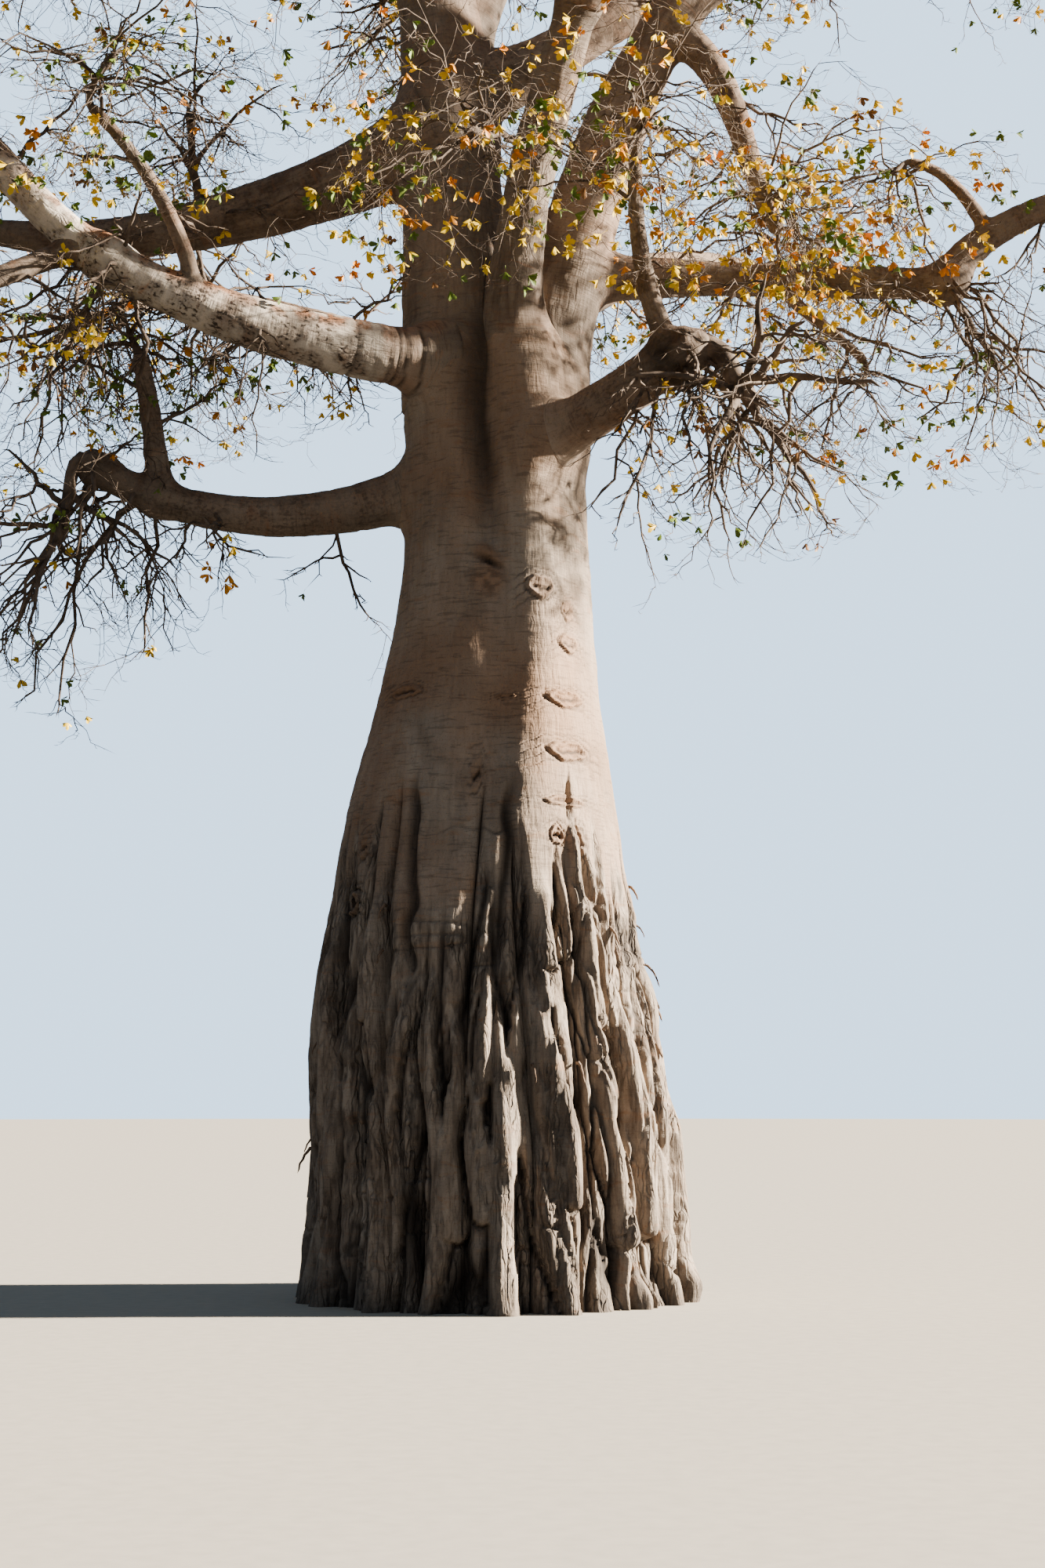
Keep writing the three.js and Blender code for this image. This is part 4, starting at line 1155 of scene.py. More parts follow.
def trunk_outside(points):
    """How far points lie outside the smooth bottle of the neck with its cleft and dome, and the way
    in which that grows: the horizontal gap, less where the side slopes."""
    z = np.clip(points[:, 2], 0.0, TRUNK_HEIGHT)
    x = points[:, 0] - trunk_centre(z)
    y = points[:, 1]
    bearing = np.degrees(np.arctan2(y, x)) % 360.0
    radius = (bottle_radius(z) + neck_form(bearing, z)) * dome_share(z)
    below = (bottle_radius(z - 0.05) + neck_form(bearing, z - 0.05)) * dome_share(z - 0.05)
    away = np.maximum(np.hypot(x, y), 1e-6)
    slope = np.stack([x / away, y / away, (below - radius) / 0.05], axis=1)
    steep = np.linalg.norm(slope, axis=1)
    gap = (away - radius) / steep
    over = points[:, 2] - TRUNK_HEIGHT > gap
    gap = np.where(over, points[:, 2] - TRUNK_HEIGHT, gap)
    return gap, np.where(over[:, None], [0.0, 0.0, 1.0], slope / steep[:, None])


def limb_outside(points, limb):
    """How far points lie outside a limb, and the way in which that grows: the least, over its
    line's pieces, of the distance to the piece less the radius there."""
    gap = np.full(len(points), 1e9)
    slope = np.zeros_like(points)
    line = limb["line"]
    steps = len(line) - 1
    for i in range(steps):
        share, away = beside_span(points, line[i], line[i + 1])
        distance = np.linalg.norm(away, axis=1)
        here = distance - knotted_radius(limb, (i + share) / steps)
        closer = here < gap
        gap = np.where(closer, here, gap)
        slope = np.where(closer[:, None], away / np.maximum(distance, 1e-6)[:, None], slope)
    return gap, slope


def outside(points, name):
    """How far points lie outside the trunk or the named limb, and the way in which that grows."""
    return trunk_outside(points) if name == "trunk" else limb_outside(points, limbs[name])


def shared_skin(points, names):
    """Distance outside the named pieces grown together, and the way in which it grows. Each joins
    those before it: the lesser distance, less h²w/4 where the two differ by less than the flesh's
    width w, with h = 1 - difference / w."""
    total, slope = outside(points, names[0])
    for name in names[1:]:
        gap, way = outside(points, name)
        width = min(FLESH_SHARE * limbs[name]["radii"][0], MOST_FLESH)
        near = np.clip(1.0 - np.abs(total - gap) / width, 0.0, 1.0)
        share = np.where(gap < total, 1.0 - near / 2.0, near / 2.0)
        total = np.minimum(total, gap) - near * near * width / 4.0
        slope = mix(slope, way, share[:, None])
    return total, slope


def neighbours_of(name):
    """The pieces that come within a hand of this one, so that they grow together."""
    found = []
    for other in ("trunk", *LIMBS):
        line_of, skin_of = (other, name) if name == "trunk" else (name, other)
        if other == name:
            continue
        limb = limbs[line_of]
        reach = limb_radius(limb, np.linspace(0, 1, LIMB_LINE + 1)) + MOST_FLESH
        if (outside(limb["line"], skin_of)[0] < reach).any():
            found.append(other)
    return found


def grow_together(points, name):
    """Moves a piece's points onto the skin that it shares with its neighbours, by a few steps down
    the slope. Past the middle of the joint it sinks under the other's skin, and further in its
    points stay where they are. Also says how much nearer the others' skin is than its own."""
    near = neighbours_of(name)
    lead = np.full(len(points), -1.0)
    if not near:
        return points, lead
    names = [n for n in ("trunk", *LIMBS) if n == name or n in near]
    inner = np.min([outside(points, other)[0] for other in near], axis=0)
    close = np.flatnonzero(inner < MOST_FLESH + 0.1)
    moved = points[close].copy()
    for _ in range(JOINT_STEPS):
        gap, slope = shared_skin(moved, names)
        moved = moved - slope * np.clip(gap, -JOINT_STEP, JOINT_STEP)[:, None]
    own, _ = outside(moved, name)
    others = np.min([outside(moved, other)[0] for other in near], axis=0)
    lead[close] = own - others
    _, way = shared_skin(moved, names)
    moved = moved - unit(way) * (SINK * smooth(lead[close] / SINK_RUN))[:, None]
    stay = smooth(1.0 + inner[close] / 0.25)[:, None]
    result = points.copy()
    result[close] = mix(points[close], moved, stay)
    return result, lead


# The relief stands out sideways up to this height, and square to the skin this much higher
SIDEWAYS_TOP = 6.2
SIDEWAYS_FADE = 1.5
TRUNK_BARK = {
    "Main": (0.235, 0.178, 0.132),
    "Pale": (0.360, 0.290, 0.225),
    "Dark": (0.022, 0.016, 0.012),
    "Rust": (0.270, 0.140, 0.070),
}
trunk_material = bark_material(
    "trunk_bark", None, TRUNK_BARK, {"Streaks": 0.014, "Wrinkles": 0.010, "Cracks": 0.020}
)


def bark_looks(painted_shade_and_marks, age, stain):
    """The bark's three measures at a closed net's points, with plain ones added for its two poles."""
    return {
        "painted_shade_and_marks": np.append(painted_shade_and_marks, [0.0, 0.0]),
        "age": np.append(age, [0.5, 0.5]),
        "stain": np.append(stain, [0.0, 0.0]),
    }


def trunk_piece(name, low_end, high_end, size):
    """Part of the trunk between two heights, closed by a flat foot and a flat top. A row beyond
    each end gives the slope there, so that the light runs on over the seam. The relief stands out
    sideways on the folds and square to the skin under the fork."""
    per_strand, count = size
    z_rows = np.linspace(low_end, high_end, count)
    rows = np.concatenate([[low_end - 0.02], z_rows, [high_end + 0.02]])
    points, relief, painted_shade_and_marks, age, stain = trunk_net(np.clip(rows, 0.0, TRUNK_HEIGHT), per_strand)
    points[0, :, 2] = rows[0]
    points[-1, :, 2] = rows[-1]
    sideways = unit((points - points.mean(axis=1, keepdims=True)) * [1.0, 1.0, 0.0])
    if high_end == TRUNK_HEIGHT:
        flat, _ = grow_together(points.reshape(-1, 3), "trunk")
        points = flat.reshape(points.shape)
    square = smooth((points[..., 2:] - SIDEWAYS_TOP) / SIDEWAYS_FADE)
    points = points + unit(mix(sideways, net_normals(points), square)) * relief[..., None]
    normals = net_normals(points)[1:-1]
    net = points[1:-1]
    flat = np.concatenate([net.reshape(-1, 3), [net[0].mean(axis=0), net[-1].mean(axis=0)]])
    triangles = net_triangles(net.shape[0], net.shape[1])
    looks = bark_looks(*[measure[1:-1].ravel() for measure in (painted_shade_and_marks, age, stain)])
    obj = piece_of(name, flat, triangles, trunk_material, looks)
    obj.data.normals_split_custom_set_from_vertices(
        np.concatenate([normals.reshape(-1, 3), [[0, 0, -1], [0, 0, 1]]]).tolist()
    )
    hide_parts("trunk")


for piece_name, (low_end, high_end, size) in TRUNK_PIECES.items():
    trunk_piece(piece_name, low_end, high_end, size)


# The limbs' bark: each limb is a tube along its centre line that runs into what it grows on with a
# drawn-out collar. Rings of old creases circle the foot of some, and the cut or broken tips have healed
# into knobs. A limb that grows on the trunk has the trunk's colour near its foot.
LIMB_MESH_SIZE = 0.034
LIMB_BARK = {
    "pale": {
        "Main": (0.170, 0.129, 0.097), "Pale": (0.265, 0.212, 0.166),
        "Dark": (0.040, 0.029, 0.021), "Rust": (0.280, 0.140, 0.070),
    },
    "dark": {
        "Main": (0.150, 0.104, 0.073), "Pale": (0.265, 0.205, 0.155),
        "Dark": (0.028, 0.019, 0.013), "Rust": (0.240, 0.105, 0.045),
    },
    "mottled": {
        "Main": (0.290, 0.215, 0.160), "Pale": (0.680, 0.590, 0.490),
        "Dark": (0.034, 0.023, 0.016), "Rust": (0.380, 0.150, 0.055),
    },
}
LIMB_MOTTLE = {"pale": 0.12, "dark": 0.45, "mottled": 0.95}
limb_materials = {
    kind: bark_material(
        kind + "_limb_bark",
        "straight",
        colours,
        {"Mottle": LIMB_MOTTLE[kind], "Streaks": 0.006, "Wrinkles": 0.009, "Cracks": 0.008},
    )
    for kind, colours in LIMB_BARK.items()
}
LIMB_KINDS = {
    "leader_left": "pale", "leader_right": "pale", "leader_centre": "pale", "leader_left_fork": "pale",
    "bough_lower_left": "mottled", "bough_lower_left_end": "mottled",
}
# How much more the bark is ringed with old creases on some limbs, and how far from its foot in
# metres a limb has deep ones
LIMB_RINGS = {"bough_lower_left": 1.2, "bough_lower_right": 0.5}
DEEP_RINGS = {"bough_lower_left": (0.40, 0.58, 0.66, 1.10)}
# The closed tip: shares of its radius at which its last rings stand, and how far it bulges
TIP_RINGS = np.array([0.25, 0.5, 0.72, 0.88, 0.97])
TIP_BULGE = 0.6
# The first sideways way of a tube, which is then carried along it
ANY_WAY = np.array([0.31, 0.72, 0.62])
# The columns of a limb's net, from the thinnest to the thickest
LIMB_COLUMNS = (22, 110)
# The depth of a ring of creases as a share of the limb's radius, and that of a deep one in metres
RING_DEPTH = 0.05
DEEP_RING_DEPTH = 0.025
# Each limb's grain starts this much further along than the one's before it
GRAIN_SHIFT = 3.7
# How rusty a limb is on top
LIMB_RUST = {"bough_lower_left": 0.9, "bough_lower_left_end": 0.7}


def limb_piece(name):
    """A tube of rings along the limb's curve, each ring's radius from the taper and the knots,
    grown together with its neighbours and roughened by lumps that belong to the place."""
    limb = limbs[name]
    foot_radius = limb["radii"][0] + limb["collar"]
    columns = int(np.clip(round(2 * np.pi * foot_radius / LIMB_MESH_SIZE), *LIMB_COLUMNS))
    rows = int(round(limb["length"] / LIMB_MESH_SIZE))
    cap = TIP_RINGS
    shares = np.concatenate([np.linspace(0.0, 1.0, rows), np.full(len(cap), 1.0)])
    centre = curve_points(limb["curve"], shares)
    tangent = curve_tangents(limb["curve"], shares)
    radius = knotted_radius(limb, shares)
    tip_radius = radius[-1]
    centre[-len(cap):] += tangent[-len(cap):] * (cap * tip_radius * TIP_BULGE)[:, None]
    radius[-len(cap):] *= np.sqrt(1.0 - cap**2)
    along = np.concatenate([np.linspace(0.0, limb["length"], rows), limb["length"] + cap * tip_radius])
    side = ANY_WAY
    sides = np.empty_like(centre)
    for i in range(len(shares)):
        side = unit(side - tangent[i] * (side @ tangent[i]))
        sides[i] = side
    others = np.cross(sides, tangent)
    turn = np.linspace(0.0, 2 * np.pi, columns, endpoint=False)
    cosine, sine = np.cos(turn)[None, :, None], np.sin(turn)[None, :, None]
    ring = sides[:, None, :] * cosine - others[:, None, :] * sine
    net = centre[:, None, :] + ring * radius[:, None, None]
    shape = net.shape
    flat, lead = grow_together(net.reshape(-1, 3), name)
    normal = net_normals(flat.reshape(shape)).reshape(-1, 3)
    thickness = np.repeat(radius, columns)
    own = smooth(-lead / 0.15)
    knotty = np.repeat(at_knots(limb, shares, 3), columns) * own
    length_along = np.repeat(along, columns)
    lumps = rough(flat, YOUNG_BARK) * np.clip(thickness / 0.25, 0.25, 1.0)
    lumps = lumps + own * 0.006 * noise(flat, 0.055, 53) + knotty * noise(flat, 0.11, 54)
    ring_place = length_along[:, None] * [0, 0, 1] + ring.reshape(-1, 3) * 0.3 * [1, 1, 0]
    rings = bell(noise(ring_place * [0.35, 0.35, 1.0], 0.16, 55) / 0.16) * np.exp(-length_along / 1.5) * own
    rings = rings * LIMB_RINGS.get(name, 0.25) * smooth(noise(flat, 0.5, 57) * 2.0 + 0.5)
    deep = np.zeros_like(rings)
    for at in DEEP_RINGS.get(name, ()):
        wander = 0.05 * noise(ring_place * [1.0, 1.0, 0.0] + [0, 0, at], 0.25, 59)
        deep = np.maximum(deep, bell((length_along - at - wander) / 0.018))
    flat = flat + normal * (lumps - RING_DEPTH * rings * thickness - DEEP_RING_DEPTH * deep)[:, None]
    straight = np.stack(
        [
            np.tile(np.cos(turn), len(shares)) * thickness,
            np.tile(np.sin(turn), len(shares)) * thickness,
            length_along + GRAIN_SHIFT * list(LIMBS).index(name),
        ],
        axis=1,
    )
    # Painted shade: darker under the limb, in its rings of creases and deep rings, and in the cleft at the
    # foot of a limb on the trunk; the knots are dark bark
    underside_shade = smooth(-normal[:, 2] * 0.8 + 0.1)
    painted_shade_and_marks = 0.7 * rings + 0.25 * underside_shade + knotty * (9.0 + 5.0 * noise(flat, 0.09, 58))
    painted_shade_and_marks = np.clip(np.maximum(painted_shade_and_marks, 0.7 * deep), 0.0, 0.95)
    topside = smooth(normal[:, 2] * 1.6 - 0.1) * smooth(0.8 + noise(flat, 0.35, 60))
    stain = LIMB_RUST.get(name, 0.25) * topside
    age = np.clip(0.35 + 0.4 * noise(flat, 0.8, 56) + 4.0 * knotty, 0.0, 1.0)
    root = 1.0 - smooth((length_along - 0.9 * foot_radius) / 0.8)
    root = root if LIMBS[name][0] == "trunk" else 0.0 * root
    painted_shade_and_marks = np.maximum.reduce([painted_shade_and_marks * (1.0 - root), 0.7 * deep, root * cleft_shade(flat)])
    age = mix(age, 0.10, root)
    stain = stain * (1.0 - 0.6 * root)
    obj = piece_of(
        name + "_bark",
        np.concatenate([flat, [centre[0], centre[-1] + tangent[-1] * 0.02 * tip_radius]]),
        net_triangles(len(shares), columns),
        limb_materials[LIMB_KINDS.get(name, "dark")],
        {
            **bark_looks(painted_shade_and_marks, age, stain),
            "root": np.append(root, [0.0, 0.0]),
            "straight": np.concatenate([straight, straight[[0, -1]] * [0, 0, 1]]),
        },
    )
    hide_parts(name)


for limb_name in LIMBS:
    limb_piece(limb_name)


# Twigs: each mass grows on from its limb by one rule. A stem runs to the middle of the mass's
# space, branches fan out from it to the rim, twigs leave them by turns, and finer shoots hang
# in arcs whose ends turn up in short spurs. Thin dark living wood, bare for most of its length.
FLATNESS = 0.9
BRANCHES = 7
TRIES = 3
TWIGS_PER_BRANCH = 2
GOLDEN_TURN = math.pi * (3.0 - math.sqrt(5.0))
CLEAR_LINE = 6
# Where branches leave their stem, and how far they and their twigs reach as shares of the mass's reach
BRANCH_ROOTS = (0.45, 0.97)
BRANCH_REACH = (0.84, 0.97)
TWIG_REACH = (0.38, 0.60)
# A branch that would come too near is tried again, this much shorter each time
SHORTER = 0.8
# Where a shoot is looked at, and how much clear room it needs beside other masses and the wood
LOOKED_AT = (0.45, 0.70, 0.85, 1.0)
MASS_GAP = 0.05
BRANCH_GAP = 0.045
# Foot radius as a share of what it grows on, and tip radius as a share of the foot's
STEM_WOOD = (0.85, 0.45)
BRANCH_WOOD = (0.60, 0.25)
TWIG_WOOD = (0.70, 0.30)
# name: (the limb it grows on, the middle of its space, its reach, the share of the limb where it
# leaves and its bearing and rise there and its radius or None at the limb's tip, how leafy it
# is, how many of its sprays are green, the piece that it is joined in)
MASSES = {
    "foliage_crown_left": ("leader_left", (-2.1, 0.3, 16.75), 2.05, None, 0.14, 0.25, "crown_twigs"),
    "foliage_crown_back": ("leader_left_fork", (0.65, 2.2, 16.85), 1.75, None, 0.14, 0.25, "crown_twigs"),
    "foliage_crown_front": ("leader_centre", (1.05, -2.3, 16.45), 2.0, None, 0.16, 0.2, "crown_twigs"),
    "foliage_crown_right": ("leader_right", (4.15, -0.5, 15.85), 2.05, None, 0.16, 0.2, "crown_twigs"),
    "foliage_upper_left": ("bough_upper_left", (-7.05, 0.9, 11.5), 2.25, None, 0.12, 0.45, "left_twigs"),
    "foliage_upper_left_near": (
        "bough_upper_left", (-3.4, 0.3, 12.85), 1.5, (0.5, (110, 65), 0.07), 0.1, 0.4, "left_twigs",
    ),
    "foliage_lower_left": (
        "bough_lower_left_end", (-7.0, -2.4, 13.1), 2.15, None, 0.14, 0.5, "left_twigs",
    ),
    "foliage_lower_left_up": (
        "branch_lower_left_up", (-3.7, -2.7, 12.0), 1.75, None, 0.12, 0.45, "left_twigs",
    ),
    "foliage_lower_left_down": (
        "branch_lower_left_down", (-6.15, -2.7, 9.45), 1.75, None, 0.14, 0.6, "left_twigs",
    ),
    "foliage_lowest_left": ("bough_lowest_left", (-4.5, -0.6, 7.6), 1.7, None, 0.004, 0.3, "low_twigs"),
    "foliage_lowest_left_up": (
        "branch_lowest_left_up", (-3.85, -0.35, 9.95), 1.25, None, 0.05, 0.4, "low_twigs",
    ),
    "foliage_lower_right": ("bough_lower_right", (2.6, -1.9, 8.65), 1.6, None, 0.03, 0.1, "low_twigs"),
    "foliage_lower_right_up": (
        "branch_lower_right_up", (1.5, -2.15, 11.5), 1.7, None, 0.26, 0.15, "low_twigs",
    ),
    "foliage_right": ("bough_right_end", (7.75, 0.45, 12.0), 2.0, None, 0.12, 0.25, "right_twigs"),
    "foliage_right_up": ("branch_right_up", (4.25, 0.1, 11.9), 1.5, None, 0.18, 0.2, "right_twigs"),
    "foliage_right_knee": (
        "bough_right", (5.45, 0.25, 9.7), 1.45, (0.985, (350, -60), 0.06), 0.1, 0.35, "right_twigs",
    ),
    "foliage_right_down": ("branch_right_down", (3.85, -0.25, 9.45), 1.2, None, 0.1, 0.2, "right_twigs"),
    "foliage_upper_right": ("bough_upper_right", (2.95, 2.95, 16.6), 1.9, None, 0.14, 0.2, "crown_twigs"),
    "foliage_side_right": ("bough_side_right", (2.8, -0.9, 11.3), 1.65, None, 0.34, 0.15, "right_twigs"),
    "foliage_top_left": ("bough_top_left", (-5.05, 0.2, 15.4), 2.1, None, 0.13, 0.4, "high_twigs"),
    "foliage_top_right": ("bough_top_right", (6.5, 0.6, 15.6), 1.9, None, 0.15, 0.2, "high_twigs"),
    "foliage_back_left": ("bough_back_left", (-3.9, 5.2, 12.2), 2.3, None, 0.12, 0.35, "back_twigs"),
    "foliage_back": ("bough_back", (0.5, 5.8, 13.25), 2.2, None, 0.12, 0.3, "back_twigs"),
    "foliage_back_right": ("bough_back_right", (4.0, 5.0, 12.9), 1.75, None, 0.12, 0.3, "back_twigs"),
    "foliage_back_high": ("bough_back_high", (-1.3, 4.7, 16.2), 2.0, None, 0.14, 0.3, "high_twigs"),
    "foliage_back_left_low": (
        "bough_back_left_low", (-5.65, 3.1, 10.9), 2.0, None, 0.1, 0.4, "back_twigs",
    ),
    "foliage_front_left": ("bough_front_left", (-3.45, -4.15, 14.3), 2.15, None, 0.14, 0.35, "high_twigs"),
    "foliage_front_right": ("bough_front_right", (2.45, -5.4, 14.45), 2.0, None, 0.14, 0.2, "back_twigs"),
    "foliage_front_high": ("bough_front", (-0.7, -5.1, 15.4), 1.95, None, 0.14, 0.3, "high_twigs"),
    "foliage_front": (
        "leader_centre", (-0.3, -2.65, 11.25), 1.7, (0.36, (245, 15), 0.055), 0.24, 0.2, "low_twigs",
    ),
}

# The kinds of shoot: how far one hangs and how its tip lifts as shares of its length, its thickest
# radius, how many steps it has, how crooked it is, and where on its parent the first one stands
SHOOTS = {
    "arc": (0.40, 0.40, 0.024, 8, 0.55, 0.20),
    "twig": (0.25, 0.55, 0.0145, 4, 0.60, 0.12),
    "spur": (-0.20, 0.60, 0.0095, 2, 0.50, 0.15),
    "side spur": (-0.20, 0.60, 0.0095, 2, 0.50, 0.12),
    "straight shoot": (0.10, 0.40, 0.026, 8, 0.50, 0.30),
    "hanging shoot": (0.95, 0.30, 0.030, 8, 0.50, 0.0),
    "shoot's arc": (0.35, 0.40, 0.020, 8, 0.55, 0.20),
}
# How far a shoot's turn is left to chance in radians, how steeply it leaves, how much of its
# parent's way it keeps, and how much of its hang it takes
SHOOT_TURN = 1.3
SHOOT_RISES = (-0.7, 0.45)
SHOOT_LEAN = 0.7
SHOOT_HANGS = (0.5, 1.3)
# Shoots stand this far clear of trunk and limbs, or are left out
SHOOT_GAP = 0.05
# A shoot's radius at its foot as a share of its parent's there, the tip's as a share of the foot's,
# and the least that a tip has
SHOOT_SHARE = 0.75
SHOOT_TAPER = 0.35
THINNEST = 0.0032
# Lengths of fine twigs as shares of the mass's reach, and of spurs in metres
FINE_TWIG_LENGTHS = (0.24, 0.52)
SPUR_LENGTHS = (0.06, 0.24)
SIDE_SPUR_LENGTHS = (0.07, 0.26)
# Hanging arcs on each stem, branch and twig of a mass, fewer where the bunch is loose, and how long
# they are as shares of the mass's reach; fine twigs on each arc, spurs on each twig and on each arc
ARCS = 3
LOOSE_ARCS = dict.fromkeys(
    ("foliage_lower_right", "foliage_lowest_left", "foliage_right_down", "foliage_right_knee"), 2
)
ARC_LENGTHS = (0.55, 1.05)
ARC_COUNTS = (4, 3, 3)
# How many more sprays hold leaves, and are green, than each mass's own number says
LEAFINESS = 1.35
MORE_GREEN = 0.06
# What is added to a spray's tint where it is green
GREEN = 10.0
# Tips keep inside the solids' own box, but for the length of a leaf
TIP_ROOM = 0.10
box_low = np.array(cad_box[0])
box_high = np.array(cad_box[1])

clear_lines = {}
for limb_name, limb in limbs.items():
    clear_lines[limb_name] = curve_points(limb["curve"], np.linspace(0, 1, CLEAR_LINE + 1))


def wood_gap(points):
    """How far points stand clear of the trunk's bottle and of every limb, negative inside them."""
    radial = np.hypot(points[:, 0], points[:, 1]) - bottle_radius(points[:, 2]) - 0.06
    gap = np.where(points[:, 2] < TRUNK_HEIGHT, radial, 1e9)
    for name, line in clear_lines.items():
        for i in range(CLEAR_LINE):
            share, away = beside_span(points, line[i], line[i + 1])
            radius = limb_radius(limbs[name], (i + share) / CLEAR_LINE)
            gap = np.minimum(gap, np.linalg.norm(away, axis=1) - radius)
    return gap


def outness(name, points):
    """How far out points lie from the middle of a mass's space: 1 at its rim."""
    centre = np.array(MASSES[name][1])
    reach = MASSES[name][2]
    return np.linalg.norm((points - centre) / (reach * np.array([1.0, 1.0, FLATNESS])), axis=-1)


def is_clear(name, curve, radius):
    """True where a shoot keeps to its own mass's space and stands clear of trunk and limbs."""
    points = curve_points(curve, LOOKED_AT)
    own = outness(name, points)
    if (own >= 1.0).any():
        return False
    for other in MASSES:
        if other != name and (outness(other, points) - own <= MASS_GAP).any():
            return False
    return bool((wood_gap(points) >= radius + BRANCH_GAP).all())


def grow_mass(name, index):
    """A mass's stem, branches and twigs, each as a curve with its radius at foot and tip."""
    on, centre, reach, off, _, _, _ = MASSES[name]
    random = seeded(9001 + index * 7919)
    centre = np.array(centre)
    limb = limbs[on]
    at = off[0] if off else 1.0
    leave = direction(*off[1]) if off else curve_tangents(limb["curve"], [1.0])[0]
    foot = curve_points(limb["curve"], [at])[0]
    foot_radius = off[2] if off else limb_radius(limb, 1.0) * STEM_WOOD[0]
    stem = (bezier(foot, leave, centre, unit(centre - foot)), foot_radius, foot_radius * STEM_WOOD[1])
    branches = {}
    for k in range(BRANCHES * TRIES):
        if k % BRANCHES in branches:
            continue
        level = 1.0 - 2.0 * ((k % BRANCHES) + 0.5) / BRANCHES
        turn = k * GOLDEN_TURN + index
        flat = math.sqrt(1.0 - level * level)
        outward = np.array([math.cos(turn) * flat, math.sin(turn) * flat, level])
        share = mix(*BRANCH_ROOTS, next(random))
        length = reach * mix(*BRANCH_REACH, next(random)) * SHORTER ** (k // BRANCHES)
        start = curve_points(stem[0], [share])[0]
        along = curve_tangents(stem[0], [share])[0]
        tip = centre + outward * length * np.array([1.0, 1.0, FLATNESS])
        leaves = unit(along + outward + [0.0, 0.0, 0.35])
        arrives = unit(unit(tip - start) - [0.0, 0.0, 0.45])
        radius = mix(stem[1], stem[2], share) * BRANCH_WOOD[0]
        curve = bezier(start, leaves, tip, arrives)
        if is_clear(name, curve, radius):
            branches[k % BRANCHES] = (curve, radius, radius * BRANCH_WOOD[1])
    twigs = []
    for k, (curve, low, high) in enumerate(branches.values()):
        for m in range(TWIGS_PER_BRANCH):
            share = (m + mix(0.35, 0.85, next(random))) / TWIGS_PER_BRANCH
            start = curve_points(curve, [share])[0]
            along = curve_tangents(curve, [share])[0]
            turn = (k * 2 + m) * GOLDEN_TURN + next(random)
            sideways = np.array([math.cos(turn), math.sin(turn), mix(-0.7, 0.3, next(random))])
            leaves = unit(0.6 * along + sideways)
            tip = start + leaves * reach * mix(*TWIG_REACH, next(random))
            radius = mix(low, high, share) * TWIG_WOOD[0]
            twig = bezier(start, leaves, tip, unit(leaves + [0.0, 0.0, 0.5]))
            if is_clear(name, twig, radius):
                twigs.append((twig, radius, radius * TWIG_WOOD[1]))
    return [stem], list(branches.values()), twigs


def crooked(curves, steps, crook, salt):
    """Curves as lines of points, each inner point pushed aside by chance, by a share of the
    step's length, so that the wood runs from knuckle to knuckle."""
    lines = curve_points(curves, np.linspace(0.0, 1.0, steps + 1)[None, :])
    count = np.arange(len(lines))[:, None]
    step = np.arange(steps + 1)[None, :]
    push = np.stack([chance(count + 0 * step, step + 0 * count, salt=salt + i) - 0.5 for i in range(3)], -1)
    size = np.linalg.norm(lines[:, -1] - lines[:, 0], axis=-1)[:, None, None] / steps
    held = np.ones(steps + 1)
    held[[0, -1]] = 0.0
    return lines + push * size * crook * held[None, :, None]


def on_lines(lines, owner, share):
    """Points, directions and shares of radius along lines: owner picks the line for each share."""
    steps = lines.shape[1] - 1
    place = np.clip(share, 0.0, 0.9999) * steps
    step = place.astype(int)
    low = lines[owner, step]
    high = lines[owner, step + 1]
    return mix(low, high, (place - step)[:, None]), unit(high - low)


def sprout(parents, kind, per, lengths, salt, first=None, space=None):
    """Shoots of a kind on every parent line, per of them each, by the same rule: they start at evenly
    dealt shares, turn by the golden angle, lean along the parent, hang by a share of their length
    and lift at the tip. Returns the lines, the radii at foot and tip, and each shoot's parent."""
    lines, low, high = parents
    hang, lift, thickest, steps, crook, usual_first = SHOOTS[kind]
    first = usual_first if first is None else first
    owner = np.repeat(np.arange(len(lines)), per)
    number = np.arange(len(owner))
    share = first + (1.0 - first) * (number % per + mix(0.15, 0.9, chance(number, salt=salt))) / per
    start, along = on_lines(lines, owner, share)
    turn = number * GOLDEN_TURN + SHOOT_TURN * chance(number, salt=salt + 1)
    rise = mix(*SHOOT_RISES, chance(number, salt=salt + 2))
    sideways = np.stack([np.cos(turn), np.sin(turn), rise], axis=-1)
    leave = unit(SHOOT_LEAN * along + sideways)
    length = mix(*lengths, chance(number, salt=salt + 3)) * mix(1.1, 0.75, share)
    tip = start + leave * length[:, None]
    tip[:, 2] -= hang * length * mix(*SHOOT_HANGS, chance(number, salt=salt + 4))
    if space:
        centre = np.array(MASSES[space][1])
        out = np.maximum(outness(space, tip), 1.0)[:, None]
        tip = centre + (tip - centre) / out
    tip = np.clip(tip, box_low - TIP_ROOM, box_high + TIP_ROOM)
    arrive = unit(unit(tip - start) + np.array([0.0, 0.0, lift]))
    radius = np.minimum(mix(low[owner], high[owner], share) * SHOOT_SHARE, thickest)
    keep = wood_gap(tip) > SHOOT_GAP
    curves = bezier(start, leave, tip, arrive)[keep]
    made = crooked(curves, steps, crook, salt + 5)
    return (made, radius[keep], np.maximum(radius[keep] * SHOOT_TAPER, THINNEST)), owner[keep]


def joined(groups):
    """Several sets of like arrays made one, such as lines of the same number of steps and their radii."""
    return tuple(np.concatenate(part) for part in zip(*groups))


